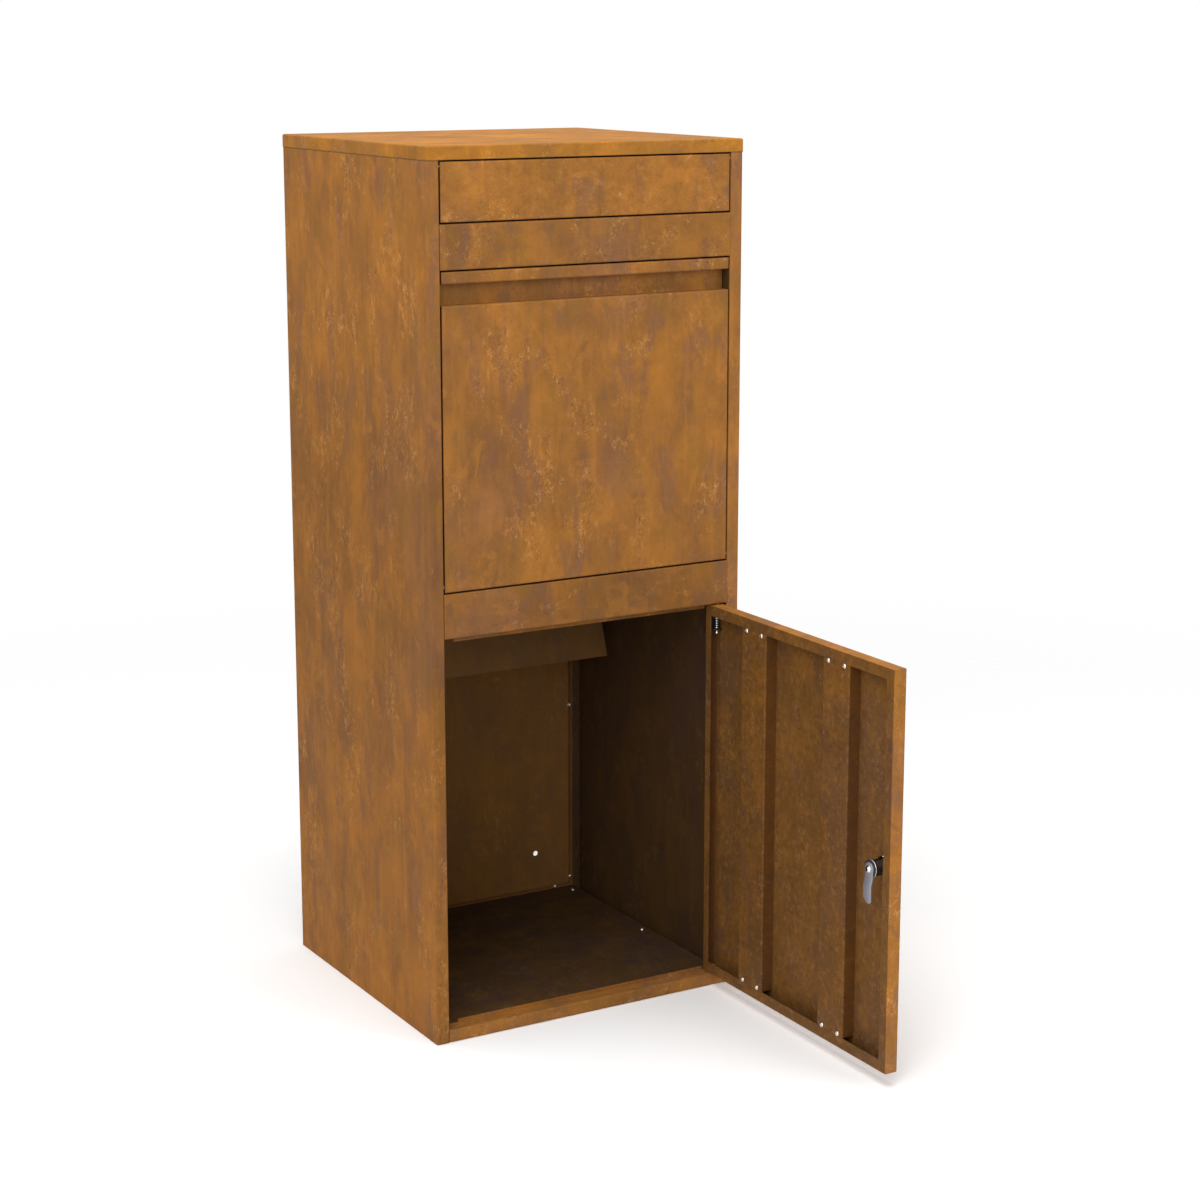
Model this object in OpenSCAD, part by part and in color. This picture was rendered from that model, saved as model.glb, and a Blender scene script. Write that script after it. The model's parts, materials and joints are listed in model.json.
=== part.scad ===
// Free-standing parcel and letter box, folded from weathering sheet steel.
// Origin: on the flat underside of the base rail, midway across and datum_y behind the front face.
// +X is to the right, +Y to the back and +Z up. Every piece is drawn from the front face, y = 0,
// and from_datum() then brings it to the origin.
// The lower door stands open at a right angle. Its own pieces are drawn closed and then swung open.

/* [Cabinet] */
// Width over the side panels
cabinet_w = 410; // [340:1:500]
// Depth from the stiles to the back panel
cabinet_d = 385; // [320:1:470]
// Height from the floor to the top of the cap
cabinet_h = 1030; // [855:1:1240]
// Sheet thickness of every folded panel
sheet = 1; // [0.8:0.1:1.2]
// Outer radius of the folds that show
bend_r = 2; // [1.5:0.1:2.4]
// Width of the front stiles, the rear posts and the floor troughs
stile_w = 16; // [14:0.5:20]
// Depth of the front stiles
stile_d = 18; // [17:0.5:22]
// Depth of the rear posts
post_d = 10; // [8:0.5:14]
// Height of the top cap
cap_h = 15.5; // [13:0.5:19]
// Height of the base
base_h = 15; // [13:0.5:18]

/* [Front] */
// Gap above and below each moving front
gap = 1.5; // [1:0.1:2]
// Height of the letter flap
flap_h = 66; // [55:1:80]
// Height of the fixed rail under the letter flap
upper_rail_h = 50.5; // [42:0.5:61]
// Height of the fixed rail above the lower door
lower_rail_h = 52; // [43:0.5:63]
// How far the rails' folded edges reach back
rail_return = 14; // [12:0.5:16]
// How far the stop lips pass the edge of the door opening
stop_lip_drop = 8; // [6:0.5:9]
// How far the base's stop lip rises above the base
base_lip_rise = 4; // [3:0.5:5]
// Free length between a stop lip and the stile beside it
stop_lip_inset = 20; // [18:1:26]

/* [Drop door] */
// Height of the grip recess
recess_h = 24; // [20:1:29]
// Depth of the grip recess
recess_d = 15; // [12:0.5:18]
// Height of the grip lip above the recess
grip_lip_h = 13.5; // [11:0.5:16]
// Depth of the drop door's folded edges
drop_return = 14; // [12:0.5:16]
// How far the drop door tips outwards
drop_open = 45; // [35:1:50]
// Length of the sloping tray behind the drop door
tray_len = 185; // [150:1:190]
// Slope of the closed tray, down to the back
tray_slope = 27; // [20:1:30]

/* [Lower door] */
// Height of the lower door
door_h = 463; // [385:1:555]
// Thickness of the lower door over its folded edges
door_t = 17; // [15:0.5:17]
// Gap between the lower door and each stile
door_side_gap = 2; // [1.5:0.1:2.5]
// Width of the lips that turn in at the top, the bottom and the free edge
door_lip = 13; // [11:0.5:15]
// Width of the lip that turns in at the hinge edge
hinge_lip = 10; // [8:0.5:12]
// Outer radius of the lower door's folds
door_bend_r = 2.5; // [2:0.1:3]
// Width of a stiffener
stiffener_w = 50; // [42:1:58]
// From the free edge to the nearer stiffener
stiffener_from_free = 82; // [76:1:96]
// From the hinge edge to the nearer stiffener
stiffener_from_hinge = 77.5; // [66:0.5:90]
// Distance between the two rivets at a stiffener's end
rivet_pitch = 30.5; // [25:0.5:34]
// From the door's top and bottom edges to the rivets
rivet_edge = 15.8; // [15:0.1:18]

/* [Hinge and lock] */
// From the hinge edge of the door to the pin's axis
hinge_inset = 7.5; // [7:0.1:7.8]
// From the door's outer face to the pin's axis
hinge_y = 6.5; // [6:0.1:6.8]
// Radius of the fixed lower hinge pin
lower_pin_r = 2.5; // [2:0.1:2.8]
// Radius of the sprung upper hinge pin
upper_pin_r = 2; // [1.6:0.1:2.2]
// How far the upper pin is drawn down to free the door
pin_travel = 6; // [5:0.5:6.5]
// Radial clearance of a turning or sliding pin in its hole
run = 0.05; // [0.02:0.01:0.08]
// From the free edge of the door to the lock's axis
lock_inset = 30; // [27:0.5:33]
// Radius of the lock's barrel
barrel_r = 9.3; // [8.5:0.1:10]
// Length of the cam from the lock's axis to its tip
cam_len = 38.5; // [36:0.5:42]
// Width of the cam
cam_w = 14; // [12:0.5:16]

/* [Inside] */
// Width of the hanging baffle
baffle_w = 350; // [290:1:352]
// From the back panel to the baffle's lower edge
baffle_reach = 127; // [105:1:150]
// Height of the baffle's lower edge above the floor
baffle_z = 362; // [300:1:430]
// Angle of the baffle from upright
baffle_lean = 18; // [15:1:22]
// Radius of the wall holes in the back panel
wall_hole_r = 3.5; // [3:0.1:4]
// Distance between the wall holes across the back
wall_pitch_x = 275; // [230:1:336]
// Distance between the wall holes up the back
wall_pitch_z = 900; // [750:1:1080]
// Height of the lower wall holes above the floor
wall_hole_z = 65; // [40:1:80]

/* [Hidden] */
$fn = 48;
datum_y = 10;
mid = sheet / 2;
half_w = cabinet_w / 2;
open_half = half_w - stile_w;
eps = 0.5;
through = 6;
slip = 0.3;

// Heights of the fronts, from the floor up
cap_z = cabinet_h - cap_h;
flap_z = cap_z - gap - flap_h;
upper_rail_z = flap_z - gap - upper_rail_h;
door_z = base_h + gap;
lower_rail_z = door_z + door_h + gap;
drop_z = lower_rail_z + lower_rail_h + gap;
drop_h = upper_rail_z - gap - drop_z;
front_w = 2 * (open_half - gap);

// Stop lips stand just behind the closed door
stop_y = door_t + 1 + sheet;
stop_lip_w = 2 * (open_half - stop_lip_inset);

// Screws and rivets
screw_r = 1.7;
screw_hole_r = 1.75;
screw_head_r = 3;
screw_head_t = 2;
screw_len = 6;
long_screw_len = 8;
rivet_r = 1.6;
rivet_hole_r = 1.65;
rivet_head_r = 2.9;
rivet_head_t = 1.4;
rivet_len = 2 * sheet;
rivet_tail = 0.6;
back_screw_count = 5;
back_screw_edge = 26;
back_screw_y = cabinet_d - post_d / 2;
back_screw_step = (cap_z - 2 * back_screw_edge) / (back_screw_count - 1);
back_screw_zs = [for (i = [0 : back_screw_count - 1]) back_screw_edge + i * back_screw_step];
ledge_w = 20;
ledge_z = base_h - sheet;
floor_screw_x = open_half - ledge_w / 2;
floor_screw_ys = [cabinet_d - 209, cabinet_d - 29];
back_flange = 11;
back_foot_screw_x = open_half - 25;
back_foot_screw_y = cabinet_d - back_flange / 2 - 1;
cap_screw_x = half_w - stile_w / 2;
cap_screw_ys = [stile_d + 30, cabinet_d / 2, cabinet_d - post_d - 30];
rail_screw_y = 8;
pin_head_t = 1.2;
pin_end_gap = 0.2;
rail_screw_zs = concat(
    [for (f = [0.25, 0.75]) upper_rail_z + f * upper_rail_h],
    [for (f = [0.3, 0.75]) lower_rail_z + f * lower_rail_h],
    [base_h / 2]);

// Letter flap
flap_return = 14;
flap_top_return = 6.5;
flap_pin_y = 3.2;
flap_pin_z = flap_z + flap_h - 5;
flap_pin_r = 1.5;
flap_pin_head_r = 2;
flap_ear_r = 3.2;

// Drop door
drop_pin_y = 4.5;
drop_pin_up = 6.5;
drop_pin_z = drop_z + drop_pin_up;
drop_pin_r = 2.5;
drop_pin_head_r = 3.2;
recess_z = drop_h - grip_lip_h - recess_h;
grip_corner_r = 3;
gusset_r = recess_z - sheet - drop_pin_up - 4;
gusset_front = sheet + slip - drop_pin_y;
gusset_stop = stile_d + eps + sheet - drop_pin_y;
gusset_stop_w = 11;
gusset_web_r = 190;
gusset_stop_end = 10;
gusset_nose = 3;
gusset_x = front_w / 2 - 2 * sheet;
tray_side = 12;
tray_side_start = 8;
tray_w = 2 * gusset_x;
tray_start = [drop_return - drop_pin_y, sheet - drop_pin_up];

// Lower door, closed: its hinge edge is at +door_half
door_half = open_half - door_side_gap;
hinge_x = door_half - hinge_inset;
stiffener_x = [
    -door_half + stiffener_from_free + stiffener_w / 2,
    door_half - stiffener_from_hinge - stiffener_w / 2];
rivet_tab = rivet_edge + 6;
washer_t = gap - slip;
washer_rim = 3;
lower_pin_head_t = 1.5;
lower_pin_head_rim = 2;
lower_pin_head_z = base_h - sheet - pin_end_gap / 2 - lower_pin_head_t;
lower_pin_rise = 6;
lower_pin_tip = 1.2;

// Upper hinge pin, its bracket and spring
bracket_z = door_z + door_h - 31.5;
bracket_h = 19.5;
bracket_t = 1.5;
bracket_reach = 12;
bracket_depth = door_t - 5 * sheet;
collar_t = 2;
collar_r = upper_pin_r + 1.4;
collar_z = bracket_z + bracket_h - bracket_t - slip - collar_t;
pin_tip_z = lower_rail_z + 4;
pin_tip_t = 1;
pin_drop = 3;
pin_knob_r = upper_pin_r + 0.6;
pin_knob_z = bracket_z - pin_drop - 0.2;
spring_wire_r = 0.45;
spring_r = collar_r - spring_wire_r - 0.1;
spring_turns = 5.5;
spring_gap = 0.05;

// Lock, along the closed door's -Y
lock_x = -door_half + lock_inset;
lock_z = door_z + door_h / 2;
plug_r = 5.5;
bezel_t = 5;
bezel_r = barrel_r + 4.6;
bezel_nose_t = 4;
bezel_nose_r = barrel_r - 0.8;
nut_t = 4;
nut_r = barrel_r + 3.7;
barrel_end = 20;
stop_washer_t = 1.2;
stop_washer_r = 11;
cam_t = 2;
cam_y = barrel_end + stop_washer_t + 0.4;
cam_eye_r = 7.5;
cam_crank = 2;
cam_corner = 6;
cam_round = 3.5;
cam_crank_start = stop_washer_r + 1.2;
cam_crank_run = 4;
cam_square = 6;
cam_square_gap = 0.1;
cam_screw_r = 1.5;
cam_screw_len = 8;
cam_screw_head_r = 4;
cam_screw_head_t = 2.4;
lock_end_gap = 0.1;
key_w = 1.6;
key_h = 7;
key_depth = 7;
plug_front = -bezel_t - bezel_nose_t + 0.4;

// Moves a piece drawn from the front face to the origin
module from_datum() {
    translate([0, -datum_y, 0]) children();
}

// ---- sheet-metal helpers ----

// A section made of straight runs along the axes, joined by quarter-round bends.
// The points lie on the sheet's middle line; r is a bend's outer radius.
module fold(points, r = bend_r) {
    rc = r - mid;
    last = len(points) - 1;
    dirs = [for (i = [0 : last - 1]) (points[i + 1] - points[i]) / norm(points[i + 1] - points[i])];
    for (i = [0 : last - 1])
        run_2d(points[i] + (i == 0 ? 0 : rc) * dirs[i],
            points[i + 1] - (i == last - 1 ? 0 : rc) * dirs[i]);
    for (i = [1 : last - 1])
        bend_2d(points[i] + (dirs[i] - dirs[i - 1]) * rc, dirs[i - 1] - dirs[i], r);
}

// One straight run of the section, from point a to point b
module run_2d(a, b) {
    across_x = abs(a.x - b.x) < abs(a.y - b.y) ? mid : 0;
    across_y = mid - across_x;
    translate([min(a.x, b.x) - across_x, min(a.y, b.y) - across_y])
        square([abs(b.x - a.x) + 2 * across_x, abs(b.y - a.y) + 2 * across_y]);
}

// One quarter-round bend about centre c, on the side that the signs point to
module bend_2d(c, signs, r) {
    intersection() {
        translate(c) difference() {
            circle(r);
            circle(r - sheet);
        }
        translate([signs.x > 0 ? c.x : c.x - r, signs.y > 0 ? c.y : c.y - r]) square(r);
    }
}

// A section in (y, z), run across the width w, centred
module across(w) {
    translate([-w / 2, 0, 0]) rotate([90, 0, 90]) linear_extrude(w) children();
}

// A section in (x, z), run back from y0 to y1
module backwards(y0, y1) {
    translate([0, y1, 0]) rotate([90, 0, 0]) linear_extrude(y1 - y0) children();
}

// A block from z = 0 to h with its front face at y = 0 and its four front edges rounded
module rounded_front(w, h, d, r) {
    intersection() {
        linear_extrude(h) translate([-w / 2, 0]) two_rounds(w, d, r);
        across(w) rotate(90) mirror([0, 1]) two_rounds(h, d, r);
    }
}

// A w by d rectangle whose two corners on y = 0 are rounded
module two_rounds(w, d, r) {
    translate([r, 0]) square([w - 2 * r, d]);
    translate([0, r]) square([w, d - r]);
    for (x = [r, w - r]) translate([x, r]) circle(r);
}

// A folded pan, open at the back inside its lips: [left, right, bottom, top]
module pan(w, h, d, r, lips) {
    difference() {
        rounded_front(w, h, d, r);
        translate([0, sheet, sheet]) rounded_front(w - 2 * sheet, h - 2 * sheet, d - 2 * sheet, r - sheet);
        translate([-w / 2 + lips[0], d - sheet - eps, lips[2]])
            cube([w - lips[0] - lips[1], sheet + 2 * eps, h - lips[2] - lips[3]]);
    }
}

// A hole along X through the sheet at x = at, on both sides of the middle
module cross_holes(at, y, z, r) {
    for (side = [-1, 1]) translate([side * at, y, z]) rotate([0, 90, 0])
        cylinder(h = through, r = r, center = true);
}

// A round head on a shank that points along +Z; the head sits below z = 0
module screw(head_r, head_t, shank_r, length) {
    cylinder(h = length, r = shank_r);
    rotate([180, 0, 0]) rotate_extrude() intersection() {
        translate([0, head_t - head_dome(head_r, head_t)]) circle(head_dome(head_r, head_t));
        square([head_r, head_t]);
    }
}

// Radius of the ball that a domed head is cut from
function head_dome(r, t) = (r * r + t * t) / (2 * t);

// Screws along X that enter both stiles from inside the opening
module side_screws(y, zs) {
    for (side = [-1, 1], z = zs)
        translate([side * (open_half - sheet), y, z]) rotate([0, side * 90, 0])
            screw(screw_head_r, screw_head_t, screw_r, screw_len);
}

// Swings the closed door's pieces open about the hinge axis
module swung_open() {
    translate([hinge_x, hinge_y, 0]) rotate([0, 0, 90]) translate([-hinge_x, -hinge_y, 0]) children();
}

// ---- cabinet ----

module top_cap() color("peru") from_datum() difference() {
    translate([0, 0, cabinet_h]) rotate([-90, 0, 0])
        pan(cabinet_w, cabinet_d, cap_h, bend_r, [rail_return, rail_return, rail_return, rail_return]);
    cap_screw_holes();
}

module cap_screw_holes() {
    for (x = [-cap_screw_x, cap_screw_x], y = cap_screw_ys)
        translate([x, y, cap_z]) cylinder(h = through, r = screw_hole_r, center = true);
}

// The right side panel: a stile, a wall and a post in one folded sheet, with a floor ledge
module side_panel() color("chocolate") from_datum() {
    lip_end = half_w - 4 * sheet;
    stile_x = open_half + mid;
    difference() {
        union() {
            linear_extrude(cap_z) fold([
                [lip_end, stile_d - mid], [stile_x, stile_d - mid], [stile_x, mid],
                [half_w - mid, mid], [half_w - mid, cabinet_d - mid], [stile_x, cabinet_d - mid],
                [stile_x, cabinet_d - post_d + mid], [lip_end, cabinet_d - post_d + mid]]);
            backwards(stile_d - mid, cabinet_d - post_d + mid) fold([
                [half_w - mid, mid], [stile_x, mid], [stile_x, ledge_z - mid],
                [open_half - ledge_w, ledge_z - mid]], 1.5 * sheet);
            translate([open_half, stile_d - mid, cap_z - sheet])
                cube([stile_w - mid, cabinet_d - post_d - stile_d + sheet, sheet]);
        }
        cap_screw_holes();
        floor_screw_holes();
        for (z = back_screw_zs) cross_holes(open_half, back_screw_y, z, screw_hole_r);
        for (z = rail_screw_zs) cross_holes(open_half, rail_screw_y, z, screw_hole_r);
        cross_holes(open_half, flap_pin_y, flap_pin_z, flap_pin_r + run);
        cross_holes(open_half, drop_pin_y, drop_pin_z, drop_pin_r + run);
    }
}

module right_side_panel() side_panel();

module left_side_panel() mirror([1, 0, 0]) side_panel();

module floor_screw_holes() {
    for (x = [-floor_screw_x, floor_screw_x], y = floor_screw_ys)
        translate([x, y, base_h]) cylinder(h = through, r = screw_hole_r, center = true);
}

module back_foot_holes() {
    for (x = [-back_foot_screw_x, back_foot_screw_x])
        translate([x, back_foot_screw_y, base_h]) cylinder(h = through, r = screw_hole_r, center = true);
}

module back_panel() color("saddlebrown") from_datum() difference() {
    union() {
        translate([-open_half, cabinet_d - sheet, base_h]) cube([2 * open_half, sheet, cap_z - base_h]);
        for (x = [-open_half, open_half - sheet])
            translate([x, cabinet_d - post_d, base_h]) cube([sheet, post_d, cap_z - base_h]);
        for (z = [base_h, cap_z - sheet])
            translate([-open_half, cabinet_d - back_flange, z]) cube([2 * open_half, back_flange, sheet]);
    }
    for (z = back_screw_zs) cross_holes(open_half, back_screw_y, z, screw_hole_r);
    back_foot_holes();
    baffle_holes();
    for (x = [-wall_pitch_x / 2, wall_pitch_x / 2], z = [wall_hole_z, wall_hole_z + wall_pitch_z])
        translate([x, cabinet_d, z]) rotate([90, 0, 0]) cylinder(h = through, r = wall_hole_r, center = true);
}

module floor_panel() color("sienna") from_datum() difference() {
    front = stop_y + slip;
    flange_half = open_half - ledge_w - slip;
    union() {
        translate([-open_half, front, ledge_z]) cube([2 * open_half, cabinet_d - front, sheet]);
        translate([-flange_half, front, 2 * sheet]) cube([2 * flange_half, sheet, ledge_z - sheet]);
        translate([-open_half, cabinet_d - sheet, 0]) cube([2 * open_half, sheet, base_h]);
    }
    floor_screw_holes();
    back_foot_holes();
}

// A folded rail between the stiles: height h, its top and bottom edges turned back
module rail(h, top_return, bottom_return) {
    across(2 * open_half) fold([
        [top_return, h - mid], [mid, h - mid], [mid, mid], [bottom_return, mid]]);
    for (x = [-open_half, open_half - sheet])
        translate([x, mid, mid]) cube([sheet, rail_return - mid, h - sheet]);
}

module upper_rail() color("peru") from_datum() difference() {
    translate([0, 0, upper_rail_z]) rail(upper_rail_h, rail_return, rail_return);
    for (z = rail_screw_zs) cross_holes(open_half, rail_screw_y, z, screw_hole_r);
}

module lower_rail() color("peru") from_datum() difference() {
    union() {
        translate([0, 0, lower_rail_z]) rail(lower_rail_h, rail_return, stop_y);
        translate([-stop_lip_w / 2, stop_y - sheet, lower_rail_z - stop_lip_drop])
            cube([stop_lip_w, sheet, stop_lip_drop + sheet]);
    }
    for (z = rail_screw_zs) cross_holes(open_half, rail_screw_y, z, screw_hole_r);
    translate([hinge_x, hinge_y, lower_rail_z]) cylinder(h = through, r = upper_pin_r + run, center = true);
}

module base_rail() color("peru") from_datum() difference() {
    union() {
        rail(base_h, stop_y, stop_y);
        translate([-stop_lip_w / 2, stop_y - sheet, ledge_z])
            cube([stop_lip_w, sheet, sheet + base_lip_rise]);
    }
    for (z = rail_screw_zs) cross_holes(open_half, rail_screw_y, z, screw_hole_r);
    translate([hinge_x, hinge_y, base_h]) cylinder(h = through, r = lower_pin_r + run, center = true);
}

// The hanging plate that stops a hand from reaching in: it leans forward as it comes down
baffle_y = cabinet_d - baffle_reach;
baffle_wall_y = cabinet_d - sheet;
baffle_top = baffle_z + (baffle_wall_y - sheet - baffle_y) / tan(baffle_lean);
baffle_flange = 22;
baffle_hole_z = baffle_top + baffle_flange * 0.6;
baffle_hole_xs = [for (f = [-0.4, 0, 0.4]) f * baffle_w];

module baffle() color("sienna") from_datum() difference() {
    slant = sheet / cos(baffle_lean);
    across(baffle_w) polygon([
        [baffle_y, baffle_z], [baffle_y + slant, baffle_z],
        [baffle_wall_y, baffle_top + (sheet - slant) / tan(baffle_lean)],
        [baffle_wall_y, baffle_top + baffle_flange], [baffle_wall_y - sheet, baffle_top + baffle_flange],
        [baffle_wall_y - sheet, baffle_top]]);
    baffle_holes();
}

module baffle_holes() {
    for (x = baffle_hole_xs)
        translate([x, baffle_wall_y, baffle_hole_z]) rotate([90, 0, 0])
            cylinder(h = through, r = rivet_hole_r, center = true);
}

module baffle_rivets() color("silver") from_datum() {
    for (x = baffle_hole_xs)
        translate([x, baffle_wall_y - sheet, baffle_hole_z]) rotate([-90, 0, 0])
            screw(rivet_head_r, rivet_head_t, rivet_r, rivet_len);
}

module back_screws() color("silver") from_datum() side_screws(back_screw_y, back_screw_zs);

module rail_screws() color("silver") from_datum() side_screws(rail_screw_y, rail_screw_zs);

module floor_screws() color("silver") from_datum() {
    for (x = [-floor_screw_x, floor_screw_x], y = floor_screw_ys)
        translate([x, y, base_h]) rotate([180, 0, 0])
            screw(screw_head_r, screw_head_t, screw_r, long_screw_len);
    for (x = [-back_foot_screw_x, back_foot_screw_x])
        translate([x, back_foot_screw_y, base_h + sheet]) rotate([180, 0, 0])
            screw(screw_head_r, screw_head_t, screw_r, long_screw_len);
}

module cap_screws() color("silver") from_datum() {
    for (x = [-cap_screw_x, cap_screw_x], y = cap_screw_ys)
        translate([x, y, cap_z - sheet]) screw(screw_head_r, screw_head_t, screw_r, screw_len);
}

// A pin of radius r with a head at each end, from inside the front to inside the stile
module front_pins(y, z, r, head_r, inner_x) {
    inner = inner_x - pin_end_gap;
    outer = open_half + sheet + pin_end_gap;
    for (side = [-1, 1]) translate([0, y, z]) rotate([0, side * 90, 0]) {
        translate([0, 0, inner - pin_head_t]) cylinder(h = pin_head_t, r = head_r);
        translate([0, 0, inner - eps]) cylinder(h = outer + eps - inner, r = r);
        translate([0, 0, outer - pin_end_gap / 2]) cylinder(h = pin_head_t, r = head_r);
    }
}

module flap_pins() color("silver") from_datum()
    front_pins(flap_pin_y, flap_pin_z, flap_pin_r, flap_pin_head_r, front_w / 2 - sheet);

module drop_door_pins() color("silver") from_datum()
    front_pins(drop_pin_y, drop_pin_z, drop_pin_r, drop_pin_head_r, gusset_x);

module lower_hinge_pin() color("silver") from_datum() translate([hinge_x, hinge_y, 0]) {
    foot = lower_pin_head_z + lower_pin_head_t / 2;
    top = door_z + lower_pin_rise;
    translate([0, 0, lower_pin_head_z]) cylinder(h = lower_pin_head_t, r = lower_pin_r + lower_pin_head_rim);
    translate([0, 0, foot]) cylinder(h = top - foot, r = lower_pin_r);
    translate([0, 0, top]) cylinder(h = lower_pin_tip, r1 = lower_pin_r, r2 = lower_pin_r - 1);
}

module hinge_washer() color("dimgray") from_datum() translate([hinge_x, hinge_y, base_h]) difference() {
    cylinder(h = washer_t, r = lower_pin_r + washer_rim);
    translate([0, 0, -1]) cylinder(h = washer_t + 2, r = lower_pin_r + 2 * run);
}

// ---- letter flap ----

module letter_flap() color("peru") from_datum() difference() {
    translate([0, 0, flap_z]) intersection() {
        union() {
            across(front_w) fold([
                [flap_top_return, flap_h - mid], [mid, flap_h - mid], [mid, mid], [flap_return, mid]]);
            for (x = [-front_w / 2, front_w / 2 - sheet]) translate([x, 0, 0])
                rotate([90, 0, 90]) linear_extrude(sheet) {
                    translate([mid, mid]) square([flap_return - mid, flap_h * 0.7]);
                    translate([mid, mid]) square([flap_pin_y + flap_ear_r - mid, flap_pin_z - flap_z]);
                    translate([flap_pin_y, flap_pin_z - flap_z]) circle(flap_ear_r);
                }
        }
        linear_extrude(flap_h) translate([-front_w / 2, 0]) two_rounds(front_w, flap_return + eps, bend_r);
    }
    cross_holes(front_w / 2 - mid, flap_pin_y, flap_pin_z, flap_pin_r + run);
}

// ---- drop door ----

module drop_door() color("peru") from_datum() difference() {
    translate([0, 0, drop_z]) intersection() {
        union() {
            across(front_w) fold([
                [drop_return, mid], [mid, mid], [mid, recess_z - mid], [recess_d + mid, recess_z - mid],
                [recess_d + mid, recess_z + recess_h + mid], [mid, recess_z + recess_h + mid],
                [mid, drop_h - mid], [drop_return, drop_h - mid]]);
            for (x = [-front_w / 2, front_w / 2 - sheet]) {
                translate([x, mid, mid]) cube([sheet, drop_return - mid, recess_z - sheet]);
                translate([x, mid, recess_z + recess_h + mid])
                    cube([sheet, drop_return - mid, grip_lip_h - sheet]);
            }
        }
        linear_extrude(drop_h) translate([-front_w / 2, 0]) two_rounds(front_w, recess_d + 2 * sheet, bend_r);
    }
    for (side = [0, 1]) mirror([side, 0, 0])
        translate([front_w / 2 - grip_corner_r, -1, drop_z + recess_z + recess_h]) grip_corner_cut();
    cross_holes(front_w / 2 - mid, drop_pin_y, drop_pin_z, drop_pin_r + run);
    hopper_side_holes();
}

// What rounds a lower corner of the grip lip
module grip_corner_cut() {
    backwards(0, drop_return + through) difference() {
        translate([0, -eps]) square([grip_corner_r + eps, grip_corner_r + eps]);
        translate([0, grip_corner_r]) circle(grip_corner_r);
    }
}

// Rivet places: up the door's folded ends, and down the tray's sides, about the drop door's axis
hopper_rivets_up = [for (f = [0.25, 0.55, 0.85]) [drop_return / 2 + 2 - drop_pin_y, f * gusset_r]];
hopper_rivets_down = [for (f = [0.3, 0.6, 0.9]) tray_start
    + [f * tray_len * cos(tray_slope) + tray_side / 2 * sin(tray_slope),
        -f * tray_len * sin(tray_slope) + tray_side / 2 * cos(tray_slope)]];

module hopper_side_holes() {
    for (p = concat(hopper_rivets_up, hopper_rivets_down))
        cross_holes(gusset_x + sheet, drop_pin_y + p[0], drop_pin_z + p[1], rivet_hole_r);
}

// A side plate of the hopper: a sector behind the door, a web down to the tray and a stop flange
module right_gusset() color("sienna") from_datum() difference() {
    translate([0, drop_pin_y, drop_pin_z]) {
        translate([gusset_x, 0, 0]) rotate([90, 0, 90]) linear_extrude(sheet) {
            intersection() {
                circle(gusset_r, $fn = 96);
                translate([gusset_front, 0]) square(2 * gusset_r);
                rotate(-drop_open) translate([gusset_stop - 2 * gusset_r, 0]) square(2 * gusset_r);
            }
            translate([-gusset_front, 0]) circle(gusset_nose - gusset_front);
            gusset_web();
        }
        translate([gusset_x, 0, 0]) rotate([90, 0, 90]) linear_extrude(gusset_stop_w)
            rotate(-drop_open) translate([gusset_stop - sheet, gusset_web_r])
                square([sheet, gusset_r - gusset_web_r - gusset_stop_end]);
    }
    cross_holes(gusset_x + mid, drop_pin_y, drop_pin_z, drop_pin_r + run);
    hopper_side_holes();
}

module left_gusset() mirror([1, 0, 0]) right_gusset();

// The part of a gusset that reaches down to the tray
module gusset_web() {
    end = tray_start + tray_len * [cos(tray_slope), -sin(tray_slope)];
    top = gusset_web_r * [sin(drop_open), cos(drop_open)];
    up = (tray_side + 2) * [sin(tray_slope), cos(tray_slope)];
    polygon([tray_start + [0, sheet], end + [0, sheet], end + up, top, [0, 0]]);
}

module drop_tray() color("sienna") from_datum() difference() {
    translate([0, drop_pin_y, drop_pin_z]) {
        translate([-tray_w / 2, tray_start[0] - drop_return + 2 * sheet, tray_start[1]])
            cube([tray_w, drop_return - sheet, sheet]);
        translate([-tray_w / 2, tray_start[0], tray_start[1]]) rotate([-tray_slope, 0, 0]) {
            cube([tray_w, tray_len, sheet]);
            for (x = [0, tray_w - sheet]) translate([x, tray_side_start, 0])
                cube([sheet, tray_len - tray_side_start, tray_side]);
        }
    }
    hopper_side_holes();
}

module hopper_rivets() color("silver") from_datum() {
    for (side = [-1, 1]) {
        for (p = hopper_rivets_up) side_rivet(side, p, gusset_x);
        for (p = hopper_rivets_down) side_rivet(side, p, gusset_x - sheet);
    }
}

// A rivet that points outwards at place p about the drop door's axis, its head at x = inner
module side_rivet(side, p, inner) {
    translate([side * inner, drop_pin_y + p[0], drop_pin_z + p[1]]) rotate([0, side * 90, 0])
        screw(rivet_head_r, rivet_head_t, rivet_r, rivet_len);
}

// ---- lower door ----

module door_panel() color("sienna") from_datum() swung_open() difference() {
    union() {
        translate([0, 0, door_z])
            pan(2 * door_half, door_h, door_t, door_bend_r, [door_lip, hinge_lip, door_lip, door_lip]);
        for (x = stiffener_x, z = [door_z + mid, door_z + door_h - mid - rivet_tab])
            translate([x - stiffener_w / 2 + 2 * sheet, door_t - 2 * sheet, z])
                cube([stiffener_w - 4 * sheet, sheet, rivet_tab]);
    }
    stiffener_rivet_holes();
    translate([hinge_x, hinge_y, door_z]) cylinder(h = through, r = lower_pin_r + run, center = true);
    translate([hinge_x, hinge_y, door_z + door_h]) cylinder(h = through, r = upper_pin_r + run, center = true);
    lock_along() cylinder(h = through, r = barrel_r + lock_end_gap, center = true);
}

stiffener_rivet_places = [for (x = stiffener_x, side = [-1, 1],
    z = [door_z + rivet_edge, door_z + door_h - rivet_edge]) [x + side * rivet_pitch / 2, z]];

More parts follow.
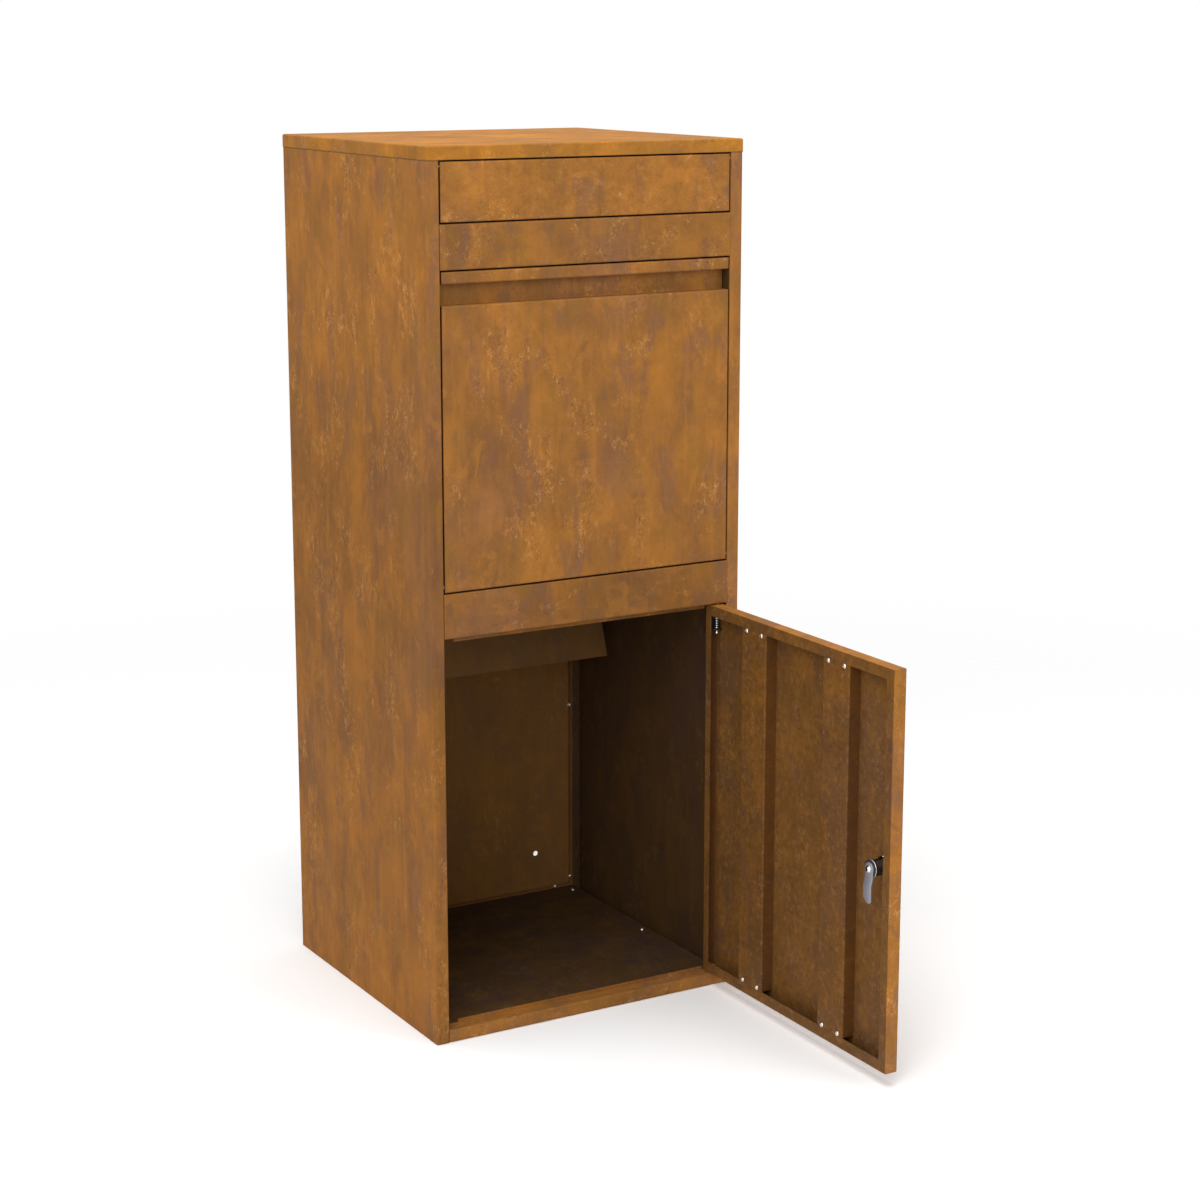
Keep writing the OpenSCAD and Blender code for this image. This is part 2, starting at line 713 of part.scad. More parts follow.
module stiffener_rivet_holes() {
    for (p = stiffener_rivet_places)
        translate([p[0], door_t, p[1]]) rotate([90, 0, 0]) 
            cylinder(h = through, r = rivet_hole_r, center = true);
}

// A channel whose face lies level with the door's lips
module stiffener(x) {
    foot = door_z + door_lip + slip;
    height = door_h - 2 * (door_lip + slip);
    swung_open() difference() {
        translate([x, 0, foot]) linear_extrude(height) fold([
            [-stiffener_w / 2 + mid, sheet], [-stiffener_w / 2 + mid, door_t - mid],
            [stiffener_w / 2 - mid, door_t - mid], [stiffener_w / 2 - mid, sheet]], 1.5 * sheet);
        stiffener_rivet_holes();
    }
}

module lock_side_stiffener() color("sienna") from_datum() stiffener(stiffener_x[0]);

module hinge_side_stiffener() color("sienna") from_datum() stiffener(stiffener_x[1]);

module stiffener_rivets() color("silver") from_datum() swung_open() {
    for (p = stiffener_rivet_places)
        translate([p[0], door_t, p[1]]) rotate([90, 0, 0])
            screw(rivet_head_r, rivet_head_t, rivet_r, rivet_len + rivet_tail);
}

// ---- sprung upper hinge pin ----

module upper_pin_bracket() color("#202020") from_datum() swung_open() difference() {
    translate([door_half - sheet - bracket_reach, 2 * sheet, bracket_z]) difference() {
        cube([bracket_reach, bracket_depth, bracket_h]);
        translate([-1, -1, bracket_t])
            cube([bracket_reach + 1 - bracket_t / 2, bracket_depth + 2, bracket_h - 2 * bracket_t]);
    }
    translate([hinge_x, hinge_y, bracket_z - 1]) cylinder(h = bracket_h + 2, r = upper_pin_r + run);
}

module upper_hinge_pin() color("silver") from_datum() translate([hinge_x, hinge_y, 0]) {
    foot = bracket_z - pin_drop;
    neck = pin_tip_z - pin_tip_t;
    translate([0, 0, foot]) cylinder(h = neck - foot, r = upper_pin_r);
    translate([0, 0, neck]) cylinder(h = pin_tip_t, r1 = upper_pin_r, r2 = upper_pin_r - 0.8);
    translate([0, 0, collar_z]) cylinder(h = collar_t, r = collar_r);
    translate([0, 0, pin_knob_z]) sphere(pin_knob_r);
}

// A coil from the bracket's lower tab to the collar, swept as rings of six sides
module pin_spring() color("silver") from_datum() translate([hinge_x, hinge_y, 0]) {
    sides = 6;
    steps = 14;
    rings = round(spring_turns * steps);
    z0 = bracket_z + bracket_t + spring_wire_r + spring_gap;
    rise = collar_z - 2 * spring_gap - spring_wire_r - z0;
    points = [for (i = [0 : rings], k = [0 : sides - 1]) let (
        a = 360 * i / steps,
        b = 360 * k / sides,
        r = spring_r + spring_wire_r * cos(b)
    ) [r * cos(a), r * sin(a), z0 + rise * i / rings + spring_wire_r * sin(b)]];
    walls = [for (i = [0 : rings - 1], k = [0 : sides - 1]) let (n = (k + 1) % sides)
        [i * sides + k, i * sides + n, (i + 1) * sides + n, (i + 1) * sides + k]];
    ends = [[for (k = [sides - 1 : -1 : 0]) k], [for (k = [0 : sides - 1]) rings * sides + k]];
    polyhedron(points, concat(walls, ends));
}

// ---- lock ----

// Puts a piece drawn along +Z at the lock's axis, pointing into the closed door
module lock_along() {
    translate([lock_x, 0, lock_z]) rotate([-90, 0, 0]) children();
}

module lock_body() color("gainsboro") from_datum() swung_open() lock_along() difference() {
    union() {
        translate([0, 0, -bezel_t]) rotate(30) cylinder(h = bezel_t, r = bezel_r, $fn = 6);
        translate([0, 0, -bezel_t - bezel_nose_t])
            cylinder(h = bezel_nose_t, r1 = bezel_nose_r, r2 = barrel_r + 1.5);
        translate([0, 0, -eps]) cylinder(h = barrel_end + eps, r = barrel_r);
    }
    translate([0, 0, -bezel_t - bezel_nose_t - 1])
        cylinder(h = barrel_end + bezel_t + bezel_nose_t + 2, r = plug_r + run);
}

module lock_nut() color("silver") from_datum() swung_open() lock_along() translate([0, 0, sheet]) difference() {
    rotate(30) cylinder(h = nut_t, r = nut_r, $fn = 6);
    translate([0, 0, -1]) cylinder(h = nut_t + 2, r = barrel_r + lock_end_gap);
}

module cam_stop_washer() color("#303030") from_datum() swung_open() lock_along() difference() {
    translate([0, 0, barrel_end + lock_end_gap]) cylinder(h = stop_washer_t, r = stop_washer_r);
    translate([0, 0, barrel_end - 1]) cylinder(h = stop_washer_t + 3, r = plug_r + run);
}

module lock_plug() color("silver") from_datum() swung_open() lock_along() difference() {
    union() {
        translate([0, 0, plug_front]) cylinder(h = cam_y - lock_end_gap - plug_front, r = plug_r);
        translate([-cam_square / 2, -cam_square / 2, cam_y - 1]) cube([cam_square, cam_square, cam_t + 1]);
    }
    translate([-key_w / 2, -key_h / 2, plug_front - 1]) cube([key_w, key_h, key_depth + 1]);
    translate([0, 0, cam_y - cam_screw_len]) cylinder(h = cam_screw_len + 2 * cam_t, r = cam_screw_r + run);
}

// The cam hangs down from the plug; its lower part is set away from the door
module lock_cam() color("silver") from_datum() swung_open() difference() {
    cam_hole = cam_square + 2 * cam_square_gap;
    translate([lock_x, 0, lock_z]) {
        intersection() {
            translate([-cam_eye_r, 0, 0]) rotate([90, 0, 90]) linear_extrude(2 * cam_eye_r) cam_section();
            translate([0, cam_y + cam_t + cam_crank, 0]) rotate([90, 0, 0])
                linear_extrude(cam_t + cam_crank) cam_outline();
        }
    }
    lock_along() translate([-cam_hole / 2, -cam_hole / 2, cam_y - 1]) cube([cam_hole, cam_hole, cam_t + 2]);
}

// The cam seen from its edge, in (y, z): two flat plates joined by a slope, the lower one set inwards
module cam_section() {
    bend_z = -cam_crank_start;
    tip_z = bend_z - cam_crank_run;
    polygon([
        [cam_y, 2 * cam_eye_r], [cam_y + cam_t, 2 * cam_eye_r], [cam_y + cam_t, bend_z],
        [cam_y + cam_t + cam_crank, tip_z], [cam_y + cam_t + cam_crank, -cam_len],
        [cam_y + cam_crank, -cam_len], [cam_y + cam_crank, tip_z], [cam_y, bend_z]]);
}

// The cam seen face on, in (x, z): a round eye and a bar whose tip has a cut and a rounded corner
module cam_outline() {
    circle(cam_eye_r);
    difference() {
        translate([-cam_w / 2, -cam_len]) square([cam_w, cam_len]);
        translate([cam_w / 2, -cam_len]) rotate(45) square(cam_corner * sqrt(2), center = true);
        translate([-cam_w / 2, -cam_len]) difference() {
            translate([-eps, -eps]) square(cam_round + eps);
            translate([cam_round, cam_round]) circle(cam_round);
        }
    }
}

module cam_screw() color("white") from_datum() swung_open() lock_along()
    translate([0, 0, cam_y + cam_t + lock_end_gap]) rotate([180, 0, 0])
        screw(cam_screw_head_r, cam_screw_head_t, cam_screw_r, cam_screw_len);

top_cap();
left_side_panel();
right_side_panel();
back_panel();
floor_panel();
base_rail();
lower_rail();
upper_rail();
baffle();
baffle_rivets();
back_screws();
floor_screws();
rail_screws();
cap_screws();
flap_pins();
drop_door_pins();
lower_hinge_pin();
hinge_washer();
letter_flap();
drop_door();
left_gusset();
right_gusset();
drop_tray();
hopper_rivets();
door_panel();
hinge_side_stiffener();
lock_side_stiffener();
stiffener_rivets();
upper_pin_bracket();
upper_hinge_pin();
pin_spring();
lock_body();
lock_nut();
cam_stop_washer();
lock_plug();
lock_cam();
cam_screw();
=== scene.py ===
# %% [markdown]
# # A parcel and letter box in weathered sheet steel
# The box is a cabinet folded from thin sheet: a letter flap at the top, a parcel door that tips out,
# and a lower door, here open, for taking the parcels out. The exact shapes come from the CAD frame,
# already at their real size. This lesson gives them their rust, their bright fixings and their light,
# and rebuilds the small lock and hinge pieces with the finer shapes that CAD leaves out.

# %% Load the frame
import bmesh
import bpy
import json
import math
import numpy as np
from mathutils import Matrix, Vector


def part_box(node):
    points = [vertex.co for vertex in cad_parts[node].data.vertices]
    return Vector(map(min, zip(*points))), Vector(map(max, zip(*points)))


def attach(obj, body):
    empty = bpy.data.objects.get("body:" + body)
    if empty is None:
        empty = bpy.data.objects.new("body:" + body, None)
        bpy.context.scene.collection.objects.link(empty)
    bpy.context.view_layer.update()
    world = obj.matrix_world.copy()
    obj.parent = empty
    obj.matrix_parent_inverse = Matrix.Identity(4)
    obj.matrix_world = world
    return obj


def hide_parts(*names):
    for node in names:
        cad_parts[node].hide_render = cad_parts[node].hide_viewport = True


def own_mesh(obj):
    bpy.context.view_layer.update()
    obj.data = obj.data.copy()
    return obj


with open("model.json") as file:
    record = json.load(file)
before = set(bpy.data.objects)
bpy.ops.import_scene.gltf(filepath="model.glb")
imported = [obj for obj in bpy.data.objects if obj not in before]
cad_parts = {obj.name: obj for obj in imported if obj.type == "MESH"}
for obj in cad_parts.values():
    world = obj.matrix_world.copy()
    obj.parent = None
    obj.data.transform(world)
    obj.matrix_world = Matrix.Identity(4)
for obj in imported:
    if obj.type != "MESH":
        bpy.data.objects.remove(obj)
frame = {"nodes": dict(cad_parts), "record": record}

scene = bpy.context.scene
MM = 0.001
UP = Vector((0, 0, 1))
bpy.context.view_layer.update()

# %% [markdown]
# ## Shader maths as plain expressions
# A rust finish is mostly arithmetic on noise: add, multiply, compare. Placing each Math node by hand
# hides the sum, so a small class wraps a socket and turns Python's operators into Math nodes. Numbers
# alone stay numbers. Every other kind of node comes from one method, node(), which sets the node's
# own settings first and then fills its sockets.

# %% The socket class
class Value:
    """One output socket that can be used in a sum."""

    def __init__(self, recipe, socket):
        self.recipe, self.socket = recipe, socket

    def sum_of(self, operation, *terms):
        return self.recipe.node("Math", dict(enumerate(terms)), operation=operation)

    def __add__(self, other):
        return self.sum_of("ADD", self, other)

    def __sub__(self, other):
        return self.sum_of("SUBTRACT", self, other)

    def __rsub__(self, other):
        return self.sum_of("SUBTRACT", other, self)

    def __mul__(self, other):
        return self.sum_of("MULTIPLY", self, other)

    __radd__ = __add__
    __rmul__ = __mul__

    def over(self, low, high):
        """0 below low, 1 above high, and a smooth rise between them; it falls if low is above high."""
        up = high > low
        ends = {"From Min": min(low, high), "From Max": max(low, high),
                "To Min": 0 if up else 1, "To Max": 1 if up else 0}
        return self.recipe.node("MapRange", {"Value": self, **ends}, interpolation_type="SMOOTHSTEP")


print("a socket's sums:", [name for name in vars(Value) if name.strip("_") in ("add", "sub", "mul")])


# %% The recipe class
class Recipe:
    """One material, built from the top down."""

    def __init__(self, name):
        self.material = bpy.data.materials.new(name)
        self.material.use_nodes = True
        self.tree = self.material.node_tree
        self.shader = self.tree.nodes["Principled BSDF"]
        self.place = self.node("TexCoord", out="Object")

    def node(self, kind, sockets=None, out=0, stops=None, **settings):
        """Any node: its settings and a ramp's stops are set first, and then its sockets are filled."""
        made = self.tree.nodes.new("ShaderNode" + kind)
        for name, setting in settings.items():
            setattr(made, name, setting)
        if stops:
            ramp = made.color_ramp
            while len(ramp.elements) < len(stops):
                ramp.elements.new(1)
            for element, (position, colour) in zip(ramp.elements, stops):
                element.position, element.color = position, (*colour, 1)
        for key, value in (sockets or {}).items():
            self.fill(made.inputs[key], value)
        return Value(self, made.outputs[out])

    def fill(self, socket, value):
        """Links a value to a socket, or sets a number or a colour on it."""
        if isinstance(value, Value):
            self.tree.links.new(value.socket, socket)
        elif isinstance(value, tuple) and len(value) == 3 and socket.type == "RGBA":
            socket.default_value = (*value, 1)
        else:
            socket.default_value = value

    def set(self, **sockets):
        """Fills the main shader's sockets; an underscore in a name stands for a space."""
        for name, value in sockets.items():
            self.fill(self.shader.inputs[name.replace("_", " ")], value)

    def noise(self, stretch, detail=4, roughness=0.5, distortion=0.0, seed=0.0):
        """Soft noise on Object coordinates with so many waves a metre along X, Y and Z."""
        moved = self.node("Mapping", {"Vector": self.place, "Scale": stretch,
                                      "Location": (seed, seed * 0.7, seed * 1.3)})
        return self.node("TexNoise", {"Vector": moved, "Scale": 1.0, "Detail": detail,
                                      "Roughness": roughness, "Distortion": distortion})

    def blend(self, under, over, factor, mode="MIX"):
        """Colour over on colour under, by factor."""
        return self.node("Mix", {0: factor, 6: under, 7: over}, out=2, data_type="RGBA",
                         blend_type=mode, clamp_factor=True)


def srgb(red, green, blue):
    """A colour as a painter reads it, 0 to 255, in the linear numbers that a shader wants."""
    return tuple(c / 12.92 if c <= 0.04045 else ((c + 0.055) / 1.055) ** 2.4
                 for c in (red / 255, green / 255, blue / 255))


print("half grey in linear numbers:", round(srgb(128, 128, 128)[0], 3))

# %% [markdown]
# ## The rust
# Weathering steel grows a thin, dense coat of rust. From a step away it is orange-brown with cloudy
# patches of dull purple-brown. Rain drags it down the upright sheets in fine streaks, and where the
# coat is young, small feathery flecks of brighter orange lie on top. Close to, it has a fine dark
# grain. Each of these is its own layer of noise here, stretched along Z where water has run, because
# layers can be tuned one at a time. Each sheet was cut from another part of the coil, so each gets
# its own seed.

# %% The rust's colours
MID_RUST = srgb(147, 97, 42)
CLOUD_STOPS = [(0.36, srgb(126, 84, 42)), (0.44, srgb(138, 91, 41)), (0.52, srgb(147, 96, 41)),
               (0.59, srgb(156, 102, 41)), (0.68, srgb(168, 109, 42))]
PLUM, AMBER, OLIVE = srgb(126, 90, 70), srgb(164, 106, 34), srgb(133, 93, 38)
SMEAR, ORANGE, UMBER = srgb(121, 84, 60), srgb(174, 113, 45), srgb(116, 76, 41)
PALE_RUN, DARK_RUN = srgb(170, 112, 50), srgb(112, 75, 47)
FEATHER, SPECK, PIT = srgb(204, 146, 84), srgb(184, 124, 62), srgb(92, 58, 31)
PALE_SPOT, DARK_SPOT = srgb(194, 136, 74), srgb(98, 62, 32)
PALE_GRAIN, DARK_GRAIN = srgb(190, 132, 68), srgb(92, 59, 32)
print("the mid rust in linear numbers:", [round(c, 3) for c in MID_RUST])


# %% The broad layers of rust
def stretched(run, across, along=None):
    """Waves a metre along X, Y and Z: across for X and Y and along for Z, each squeezed by run."""
    x, y, z = run
    return (across * x, across * y, (across if along is None else along) * z)


def broad_layers(r, run, seed, patch, streak, drag):
    """The colour of the clouds, pools, smears and runs, and the value of the young rust."""
    clouds = r.noise(stretched(run, 15), 8, 0.66, 0.25, seed)
    colour = r.node("ValToRGB", {"Fac": clouds}, stops=CLOUD_STOPS)

    pools = r.noise(stretched(run, 7), 4, 0.55, 0.3, seed + 12.1)
    colour = r.blend(colour, PLUM, pools.over(0.53, 0.66) * 0.38)
    colour = r.blend(colour, AMBER, pools.over(0.47, 0.36) * 0.3)

    olive = r.noise(stretched(run, 21), 6, 0.62, 0.3, seed + 6.3)
    colour = r.blend(colour, OLIVE, olive.over(0.5, 0.64) * 0.5)

    smears = r.noise(stretched(run, 30, 30 * drag), 7, 0.64, 0.3, seed + 5.1)
    colour = r.blend(colour, SMEAR, smears.over(0.51, 0.63) * patch)

    young = r.noise(stretched(run, 26), 8, 0.7, 0.5, seed + 7.7)
    colour = r.blend(colour, ORANGE, young.over(0.53, 0.62) * 0.42)
    colour = r.blend(colour, UMBER, young.over(0.45, 0.36) * 0.35)

    runs = r.noise(stretched(run, 100, 12), 5, 0.62, 0.2, seed + 2.3)
    colour = r.blend(colour, PALE_RUN, runs.over(0.53, 0.68) * 0.26 * streak)
    colour = r.blend(colour, DARK_RUN, runs.over(0.46, 0.33) * 0.24 * streak)
    return colour, young


print("waves a metre in the pools, drawn out twice along Z:", stretched((1, 1, 0.5), 7))


# %% The close layers of rust
def close_layers(r, colour, run, seed, fleck, mottle, grain):
    """The colour with its feathers, specks, spots and grain, and the values of feathers and grain."""
    where_young = r.noise(stretched(run, 20), 5, 0.66, 0.5, seed + 9.7).over(0.5, 0.62)
    feathers = r.noise(stretched(run, 165, 135), 5, 0.66, 1.2, seed + 3.9)
    strands = feathers.over(0.48, 0.5) * feathers.over(0.545, 0.52)
    broken = r.noise(stretched(run, 120), 3, 0.6, 0.0, seed + 8.9).over(0.48, 0.58)
    colour = r.blend(colour, FEATHER, strands * broken * where_young * fleck)

    specks = r.noise(stretched(run, 330), 4, 0.66, 0.5, seed + 4.4)
    colour = r.blend(colour, PIT, specks.over(0.58, 0.66) * where_young * 0.6)
    colour = r.blend(colour, SPECK, specks.over(0.43, 0.36) * where_young * 0.5)

    spots = r.noise(stretched(run, 120), 4, 0.66, 0.3, seed + 5.7)
    colour = r.blend(colour, DARK_SPOT, spots.over(0.47, 0.36) * mottle)
    colour = r.blend(colour, PALE_SPOT, spots.over(0.55, 0.66) * mottle)

    fine = r.noise((700, 700, 560), 4, 0.7, 0.0, seed + 1.7)
    colour = r.blend(colour, DARK_GRAIN, fine.over(0.46, 0.34) * 0.26 * grain)
    colour = r.blend(colour, PALE_GRAIN, fine.over(0.56, 0.7) * 0.22 * grain)
    return colour, strands * where_young, fine


print("the finest grain is about", round(1000 / 700, 1), "mm across")


# %% The weathering steel finish
def weathering_steel(name, seed, tint=(1, 1, 1), run=(1, 1, 0.7), patch=0.6, fleck=0.8, grain=1.0,
                     mottle=0.06, streak=1.0, drag=0.43, shades=()):
    """Rust for one sheet. tint multiplies its colour and run squeezes the pattern along an axis.
    patch, fleck, grain, mottle and streak are the strengths of those layers, and drag is how many
    smears fit along Z for each one across. mottle and streak can be functions of the recipe, for a
    sheet whose faces differ. Each of shades is a function of the recipe that gives where the sheet is
    shaded, the colour that multiplies it there, and how far its pattern is calmed there."""
    r = Recipe(name)
    mottle, streak = (layer(r) if callable(layer) else layer for layer in (mottle, streak))
    colour, young = broad_layers(r, run, seed, patch, streak, drag)
    colour, flecks, fine = close_layers(r, colour, run, seed, fleck, mottle, grain)

    for mask, shade, calm in (area(r) for area in shades):
        calmed = r.blend(colour, MID_RUST, calm)
        colour = r.blend(colour, r.blend(calmed, shade, 1.0, "MULTIPLY"), mask)
    if tint != (1, 1, 1):
        colour = r.blend(colour, tint, 1.0, "MULTIPLY")

    height = fine * 0.5 + flecks * 0.3 + young * 0.2
    bump = r.node("Bump", {"Strength": 0.3, "Distance": 0.5 * MM, "Height": height}, out="Normal")
    r.set(Base_Color=colour, Roughness=0.7 + (fine - 0.5) * 0.25,
          Specular_IOR_Level=0.14, Normal=bump)
    return r.material


print("weathering_steel() makes one sheet's material from layers of noise")

# %% [markdown]
# ## Where a sheet is inside
# The side panels, the back and the doors each have one face in the weather and one inside. Inside the
# cabinet, shade is painted into the rust: darker, and a little cooler. The open door's inner face is
# darker too. A face's side can be read from its place: the wall is only a millimetre thick, so a
# comparison on Object coordinates half way through it separates the two. A second material on the
# inner faces would do the same, but the frame's meshes stay as they are.

# %% Helpers for the shading masks
def shadow(depth):
    """The colour of light that has come in from outdoors: darker by depth, and a little cooler."""
    return (depth, depth * 1.14, depth * 1.45)


def axis_value(r, axis):
    """One Object coordinate as a value."""
    return r.node("SeparateXYZ", {"Vector": r.place}, out=axis)


def higher(a, b):
    """The larger of two values."""
    return a.sum_of("MAXIMUM", a, b)


# The top cap covers the whole cabinet, so its box gives the outer faces.
cap_low, cap_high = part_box("top_cap")
half_wall = 0.5 * MM
front = cap_low.y
print("cabinet outside:", [round(v, 4) for v in cap_low], "to", [round(v, 4) for v in cap_high])


# %% Masks for the cabinet's sheets
def inside_cabinet(shade, calm=0.0):
    """Shaded on whatever lies within the cabinet's outer faces."""
    def mask(r):
        x, y = axis_value(r, "X"), axis_value(r, "Y")
        within_x = x.over(cap_high.x - 0.4 * half_wall, cap_high.x - half_wall) \
            * x.over(cap_low.x + 0.4 * half_wall, cap_low.x + half_wall)
        within_y = y.over(front + 1.2 * MM, front + 2.6 * MM) \
            * y.over(cap_high.y - 0.4 * half_wall, cap_high.y - half_wall)
        return within_x * within_y, shade, calm
    return mask


def evenly(calm):
    """No darker anywhere, with the whole pattern calmed."""
    def mask(r):
        return 1.0, (1, 1, 1), calm
    return mask


def floor_top(shade):
    """Shaded on the floor's upper face, but not on the flanges that hang below it."""
    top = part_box("floor_panel")[1].z

    def mask(r):
        return axis_value(r, "Z").over(top - 0.6 * MM, top - 0.3 * MM), shade, 0.0
    return mask


def front_face(shade):
    """Shaded on a side panel's turned front edge."""
    def mask(r):
        return axis_value(r, "Y").over(front + 1.2 * MM, front + 0.6 * MM), shade, 0.0
    return mask


def low_shade(shade):
    """Painted shade: darker from the middle of the box down, where less light reaches."""
    lit_above, shaded_below = 0.88, 0.6

    def mask(r):
        return axis_value(r, "Z").over(lit_above, shaded_below), shade, 0.0
    return mask


def cap_gap_shade(shade):
    """Painted shade: a dark line in the gap where the top cap meets the sides."""
    def mask(r):
        above = axis_value(r, "Z") - cap_low.z
        return above.over(0.9 * MM, 0.4 * MM) * above.over(-1.2 * MM, -0.7 * MM), shade, 0.0
    return mask


print("the cap meets the sides at", round(cap_low.z, 4), "m")


# %% Mask for the fronts' turned edges
def beyond(value, low, high, rise):
    """1 outside the span from low to high, rising over the last stretch inside each end."""
    return higher(value.over(low + rise, low + 0.4 * rise), value.over(high - rise, high - 0.4 * rise))


def gap_edge_shade(node, shade):
    """Painted shade on the first millimetres of a front's turned edges, which look into the gaps round
    it.
    """
    low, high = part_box(node)

    def mask(r):
        edge = higher(beyond(axis_value(r, "Z"), low.z, high.z, 1.0 * MM),
                      beyond(axis_value(r, "X"), low.x, high.x, 1.0 * MM))
        y = axis_value(r, "Y")
        rim = y.over(front + 0.9 * MM, front + 1.5 * MM) * y.over(front + 7 * MM, front + 4 * MM)
        return edge * rim, shade, 0.0
    return mask


print("the fronts' outer faces lie at Y", round(front, 4), "m")

# %% Masks for the lower door
# The door stands open at a right angle, so its skin faces +X and its hinge edge is at the high Y end.
skin_low, skin_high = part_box("door_panel")


def door_inner(r):
    """1 on the open door's inner face and lips, and 0 on its outer skin and its edges."""
    x, y, z = (axis_value(r, axis) for axis in "XYZ")
    inner = x.over(skin_high.x - 0.5 * half_wall, skin_high.x - 1.5 * half_wall)
    kept_y = y.over(skin_low.y + 0.3 * MM, skin_low.y + 0.8 * MM)
    kept_z = z.over(skin_high.z - 0.3 * MM, skin_high.z - 0.8 * MM) \
        * z.over(skin_low.z + 0.3 * MM, skin_low.z + 0.8 * MM)
    return inner * kept_y * kept_z


def inside_door(shade, calm=0.0):
    """Shaded on the open door's inner side."""
    def mask(r):
        return door_inner(r), shade, calm
    return mask


def hinge_wall_shade(shade):
    """Painted shade on the inner side of the door's hinge edge, behind its lip."""
    def mask(r):
        x, y = axis_value(r, "X"), axis_value(r, "Y")
        within = y.over(skin_high.y - 2.4 * MM, skin_high.y - 1.3 * MM) \
            * y.over(skin_high.y - 0.4 * MM, skin_high.y - 0.8 * MM)
        return within * x.over(skin_low.x + 1.2 * MM, skin_low.x + 2.0 * MM), shade, 0.5
    return mask


def flanges(shade):
    """Painted shade on a stiffener's two flanges, which run back from its face to the door's skin."""
    face_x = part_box("hinge_side_stiffener")[0].x

    def mask(r):
        return axis_value(r, "X").over(face_x + 0.6 * MM, face_x + 2.2 * MM), shade, 0.5
    return mask


print("the door is", round((skin_high.x - skin_low.x) / MM, 1), "mm thick")

# %% [markdown]
# ## One finish for each sheet
# On the real box no two sheets match, and the side is streaked by rain. The tints also paint light and
# shade: the top is painted lighter as light from above, the rails darker as shade low on the front, and
# what lies inside dark as shade. One shared material would look printed, so each sheet calls the same
# recipe with its own seed, tint and masks.

# %% The sheets' own materials
def front_sheet(name, seed, tint, **settings):
    """Rust for a sheet of the front, with painted shade in the gaps round it."""
    return weathering_steel("rust_" + name, seed, tint, shades=[gap_edge_shade(name, (0.1, 0.08, 0.07))],
                            **settings)


# Runs of the pattern: drawn out sideways, drawn out downwards, and even.
WIDE, LONG, EVEN = (0.8, 1, 0.9), (1, 1, 0.6), (1, 1, 1)
sheets = {
    # The top's bright tint is painted light from above.
    "top_cap": weathering_steel("rust_top", 3.0, (1.27, 1.25, 0.86), run=(0.6, 1, 1), patch=0.25,
                                fleck=0.4, shades=[cap_gap_shade(shadow(0.45))]),
    "left_side_panel": weathering_steel(
        "rust_left_side", 11.0, (1.14, 1.11, 0.98), run=LONG,
        shades=[low_shade((0.79, 0.775, 0.7)), front_face((0.85, 0.885, 1.14)),
                inside_cabinet(shadow(0.25)), cap_gap_shade(shadow(0.55))]),
    "right_side_panel": weathering_steel(
        "rust_right_side", 23.0, (1.01, 1.03, 1.15), run=LONG,
        shades=[inside_cabinet((0.273, 0.311, 0.47), 0.3), cap_gap_shade(shadow(0.55))]),
    "back_panel": weathering_steel("rust_back", 31.0, shades=[inside_cabinet((0.83, 0.93, 1.18), 0.5)]),
    # The rails' darker tints are painted shade, deepest on the lower rail.
    "upper_rail": front_sheet("upper_rail", 41.0, (0.89, 0.91, 0.99), run=WIDE),
    "lower_rail": front_sheet("lower_rail", 47.0, (0.79, 0.8, 0.86), run=WIDE),
    "base_rail": weathering_steel("rust_base_rail", 53.0, (0.94, 0.95, 0.97), run=WIDE),
    "letter_flap": front_sheet("letter_flap", 61.0, (1.05, 1.045, 1.05), run=WIDE, grain=1.5,
                               mottle=0.2),
    "drop_door": front_sheet("drop_door", 67.0, (0.955, 0.96, 1.01)),
    "door_panel": weathering_steel(
        "rust_door", 73.0, (1.12, 1.1, 1.0), run=(1, 1, 0.9), drag=0.8, grain=1.5,
        mottle=lambda r: door_inner(r) * 0.36 + 0.06, streak=lambda r: 1 - door_inner(r) * 0.8,
        shades=[inside_door((0.475, 0.508, 0.61), 0.15), hinge_wall_shade((0.42, 0.38, 0.45))]),
    "hinge_side_stiffener": weathering_steel(
        "rust_stiffener", 79.0, (0.54, 0.553, 0.567), run=EVEN, drag=1.0, fleck=0.5, grain=2.2,
        mottle=0.4, streak=0.2, shades=[flanges((0.72, 0.66, 0.66))]),
    "floor_panel": weathering_steel("rust_floor", 83.0, (0.92, 0.93, 0.96), run=EVEN,
                                    shades=[floor_top((0.267, 0.32, 0.53))]),
    # The baffle's cooler tint and the hopper's dark tint are painted shade inside the box.
    "baffle": weathering_steel("rust_baffle", 89.0, (0.7, 0.82, 1.3), shades=[evenly(0.55)]),
    "drop_tray": weathering_steel("rust_hopper", 97.0, (0.45, 0.51, 0.585), run=EVEN),
}
sheets["lock_side_stiffener"] = sheets["hinge_side_stiffener"]
sheets["left_gusset"] = sheets["right_gusset"] = sheets["drop_tray"]
print("rusted sheets:", len(sheets))

# %% [markdown]
# ## Bright and dark metal
# The fixings are zinc-plated, the lock is chromed and the small pin bracket is black. A perfectly even
# metal looks like plastic foil. It looks real when its roughness wanders a little, so a fine noise
# drives it, with faint scratches in the bump.

# %% The metal finishes
def plated(name, colour, roughness, spread, marks=0.15, metallic=1.0):
    """A plated or painted finish: a fine haze in its colour and roughness, small spots and scratches."""
    r = Recipe(name)
    haze = r.noise((420, 420, 420), 4, 0.6)
    scratches = r.noise((2600, 2600, 300), 2, 0.5, 0.3, 4.0)
    spots = r.noise((900, 900, 900), 3, 0.6, 0.0, 8.0).over(0.66, 0.74)
    tinted = r.blend(colour, tuple(c * 0.62 for c in colour), haze.over(0.52, 0.75) * 0.5)
    tinted = r.blend(tinted, srgb(122, 84, 58), spots * 0.4)
    bump = r.node("Bump", {"Strength": marks, "Distance": 0.1 * MM, "Height": scratches}, out="Normal")
    r.set(Base_Color=tinted, Metallic=metallic, Roughness=roughness + haze * spread, Normal=bump)
    return r.material


